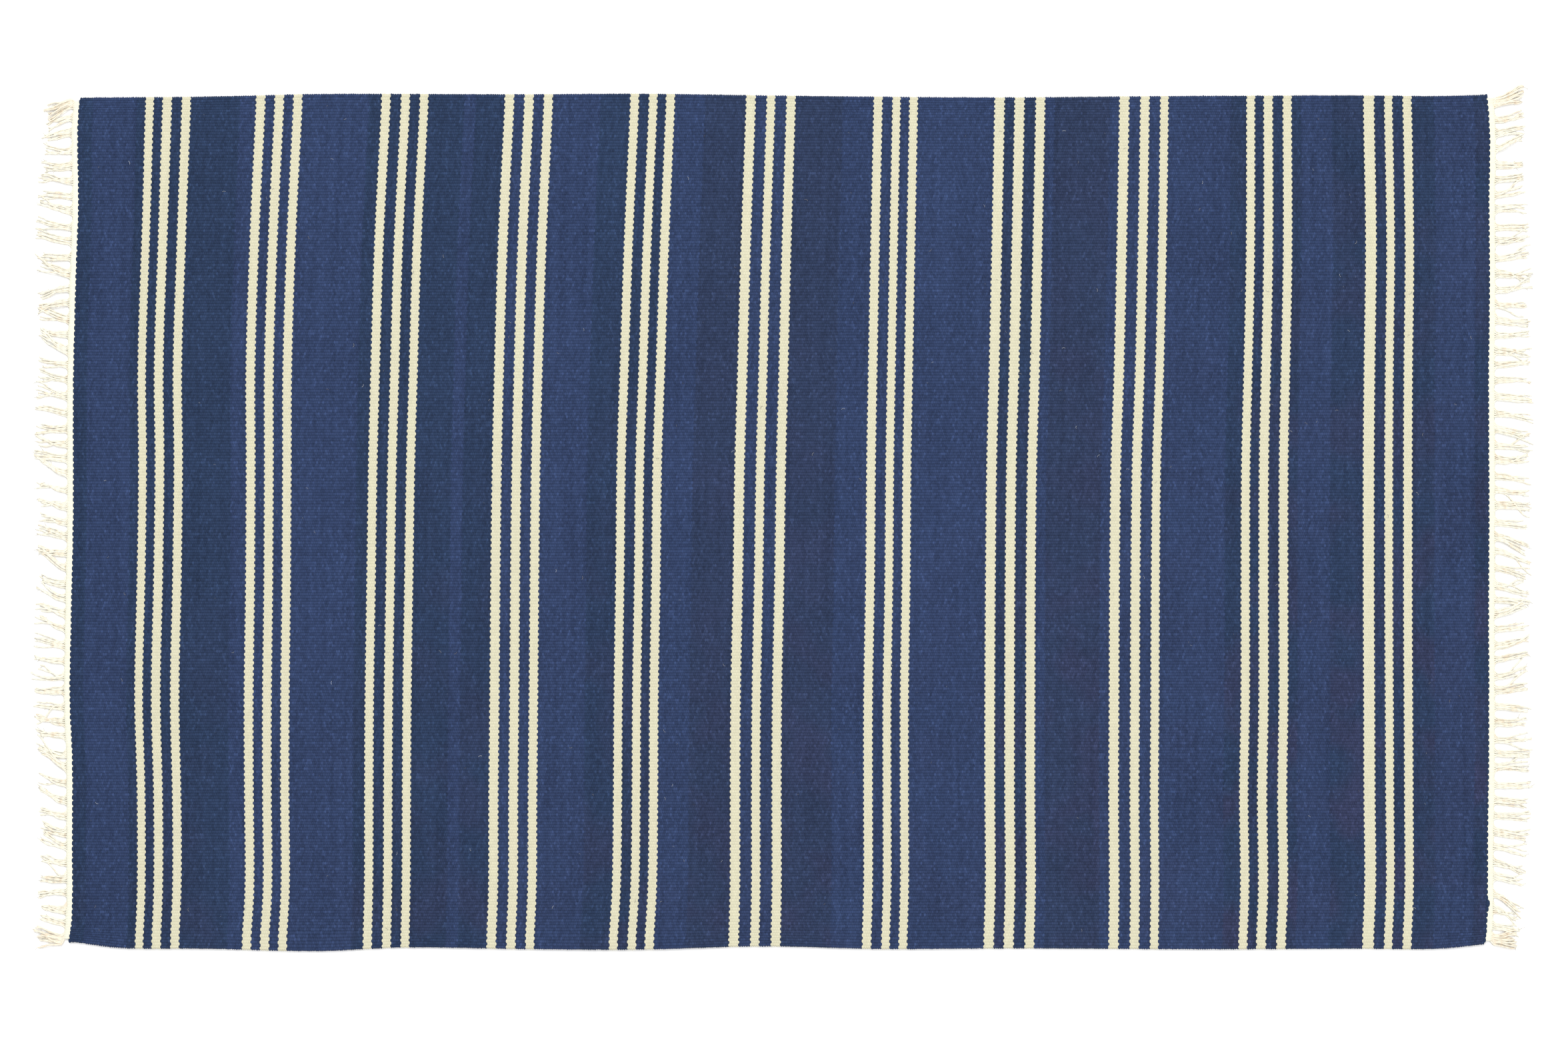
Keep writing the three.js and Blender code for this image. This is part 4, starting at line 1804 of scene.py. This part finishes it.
@dataclass
class Lint:
    """Loose fibres on the field's face, scattered by Geometry Nodes."""

    cloth: Cloth
    per_square_metre: float = 300.0
    length: float = 3.0 * MM
    fibre: float = 0.15 * MM
    height: float = 0.16 * MM
    sizes: tuple[float, float] = (0.12, 1.25)
    bow: float = 0.55
    narrowing: float = 0.8
    bends: int = 6
    sides: int = 4
    seed: int = 41
    seeds: tuple[int, int, int] = (3, 5, 7)
    turns: tuple[float, float] = (0.0, 6.28)
    inset: float = 12 * MM
    ground_steps: tuple[int, int] = (90, 60)

    def ground(self) -> bpy.types.Object:
        """A coarse copy of the field's face, level with the crests of its ribs."""
        cloth = self.cloth
        half_length = cloth.length / 2 - self.inset
        half_width = cloth.width / 2 - self.inset
        along = np.linspace(-half_length, half_length, self.ground_steps[0])
        across = np.linspace(-half_width, half_width, self.ground_steps[1])
        u, v = np.meshgrid(along, across)
        x, y = cloth.place(u, v)
        z = cloth.lift(x, y) + cloth.rib_top
        points = np.stack([x, y, z], axis=-1).reshape(-1, 3)
        number = np.arange(x.size).reshape(x.shape)
        corners = (number[:-1, :-1], number[:-1, 1:], number[1:, 1:], number[1:, :-1])
        quads = np.stack(corners, axis=-1)
        mesh = bpy.data.meshes.new("lint_ground")
        mesh.from_pydata(points.tolist(), [], quads.reshape(-1, 4).tolist())
        return link_piece("lint_ground", mesh)

    def build(self, fluff: bpy.types.Material) -> bpy.types.Object:
        """Builds and dresses the lint."""
        sweep = NodeSweep("lint_scatter")
        sweep.sizes(
            Density=self.per_square_metre,
            Length=self.length,
            Fibre=self.fibre,
            Height=self.height,
            Seed=self.seed,
        )
        spots = sweep.graph.node(
            "GeometryNodeDistributePointsOnFaces",
            {"distribute_method": "RANDOM"},
            {
                "Mesh": sweep.given("Geometry"),
                "Density": sweep.given("Density"),
                "Seed": sweep.given("Seed"),
            },
        )
        length = Value(sweep.graph, sweep.given("Length"))
        curl = {
            "Resolution": self.bends,
            "Start": sweep.graph.vector(length * -0.5, 0.0, 0.0),
            "Middle": sweep.graph.vector(0.0, length * self.bow, 0.0),
            "End": sweep.graph.vector(length * 0.5, 0.0, 0.0),
        }
        bow = sweep.add("GeometryNodeCurveQuadraticBezier", {}, curl)
        fibre = sweep.tube(bow, sweep.ring(self.sides, sweep.given("Fibre")))
        for_tint, for_turn, for_size = self.seeds
        tint = sweep.chance_between(0.0, 1.0, for_tint)
        points = sweep.store(spots.outputs["Points"], "tint", tint)
        turn = sweep.graph.vector(0.0, 0.0, sweep.chance_between(*self.turns, for_turn))
        size = Value(sweep.graph, sweep.chance_between(*self.sizes, for_size))
        raised = {0: points, "Offset": sweep.graph.vector(0.0, 0.0, sweep.given("Height"))}
        points = sweep.add("GeometryNodeSetPosition", {}, raised)
        scale = sweep.graph.vector(size, size * self.narrowing, 1.0)
        sweep.finish(sweep.strew(points, fibre, scale, turn), fluff)
        piece = sweep.run(self.ground(), "loose_fibres")
        settle(piece, "wool_field")
        return piece


@dataclass
class Studio:
    """A pale floor, soft even light, and a camera that looks straight down on the rug."""

    view_width: float = 1653.75 * MM
    middle: tuple[float, float] = (3.52 * MM, -1.36 * MM)
    lens: float = 85.0
    sensor: float = 36.0
    rug_top: float = 3 * MM
    clip_end: float = 60.0
    floor_size: float = 40.0
    floor_drop: float = 0.02 * MM
    floor_colour: Colour = (0.96, 0.96, 0.96)
    sky_strength: float = 0.80
    lamp_size: float = 3.6
    lamp_power: float = 375.0
    right_share: float = 0.5
    far_lamp: tuple[float, float, float] = (-1.6, 5.2, 6.4)
    right_lamp: tuple[float, float, float] = (5.2, -1.8, 6.6)

    def camera(self, shift: Vector) -> bpy.types.Object:
        """Hangs the camera over the rug.

        Args:
            shift: the frame's shift from the drawn cloth.

        Returns:
            The camera.
        """
        data = bpy.data.cameras.new("overhead")
        data.lens = self.lens
        data.sensor_width = self.sensor
        data.clip_end = self.clip_end
        made = bpy.data.objects.new("overhead", data)
        distance = self.view_width * self.lens / self.sensor
        height = distance + self.rug_top
        made.location = (self.middle[0] + shift.x, self.middle[1] + shift.y, height)
        bpy.context.scene.collection.objects.link(made)
        bpy.context.scene.camera = made
        return made

    def floor(self) -> bpy.types.Object:
        """Lays the floor."""
        half = self.floor_size / 2
        corners = [(-half, -half, 0), (half, -half, 0), (half, half, 0), (-half, half, 0)]
        mesh = bpy.data.meshes.new("floor")
        mesh.from_pydata(corners, [], [(0, 1, 2, 3)])
        dress = Dress("pale_floor")
        dress.set(Base_Color=(*self.floor_colour, 1.0), Roughness=0.9, Specular_IOR_Level=0.1)
        mesh.materials.append(dress.material)
        piece = link_piece("floor", mesh)
        piece.location.z = -self.floor_drop
        return piece

    def lamp(self, name: str, place: tuple[float, float, float], power: float) -> None:
        """Adds a square soft lamp that faces the frame's origin."""
        data = bpy.data.lights.new(name, "AREA")
        data.shape = "SQUARE"
        data.size = self.lamp_size
        data.energy = power
        made = bpy.data.objects.new(name, data)
        made.location = place
        made.rotation_euler = (-Vector(place)).to_track_quat("-Z", "Y").to_euler()
        made.visible_camera = False
        bpy.context.scene.collection.objects.link(made)

    def light(self) -> None:
        """Lights the room: an even pale sky, and two soft lamps from the sides."""
        world = bpy.data.worlds.new("soft_room")
        world.use_nodes = True
        sky = world.node_tree.nodes["Background"]
        sky.inputs["Color"].default_value = (1.0, 1.0, 1.0, 1.0)
        sky.inputs["Strength"].default_value = self.sky_strength
        bpy.context.scene.world = world
        self.lamp("lamp_far", self.far_lamp, self.lamp_power)
        self.lamp("lamp_right", self.right_lamp, self.lamp_power * self.right_share)
        settings = bpy.context.scene.view_settings
        settings.view_transform = "Standard"
        settings.look = "None"


def main() -> None:
    """Builds the rug and its studio, piece by piece."""
    logging.basicConfig(level=logging.INFO, format="%(name)s: %(message)s")
    cloth = Cloth()
    plan = WeftPlan(cloth)
    studio = Studio()
    studio.camera(cloth.shift)
    studio.floor()
    studio.light()

    woven = WovenField(cloth, plan).build(IndigoWool().make())
    edge_wool = SelvedgeWool().make()
    turns = Selvedges(cloth, plan).build(edge_wool)
    lobes = EndFloats(cloth, plan).build(edge_wool)
    lint = Lint(cloth).build(LintFluff().make())
    heading_cotton = HeadingCotton().make()
    fringe_cotton = FringeCotton().make()
    for end in End:
        heading = Heading(cloth, end)
        heading.build(heading_cotton)
        Fringe(cloth, heading).build(fringe_cotton)


if __name__ == "__main__":
    main()
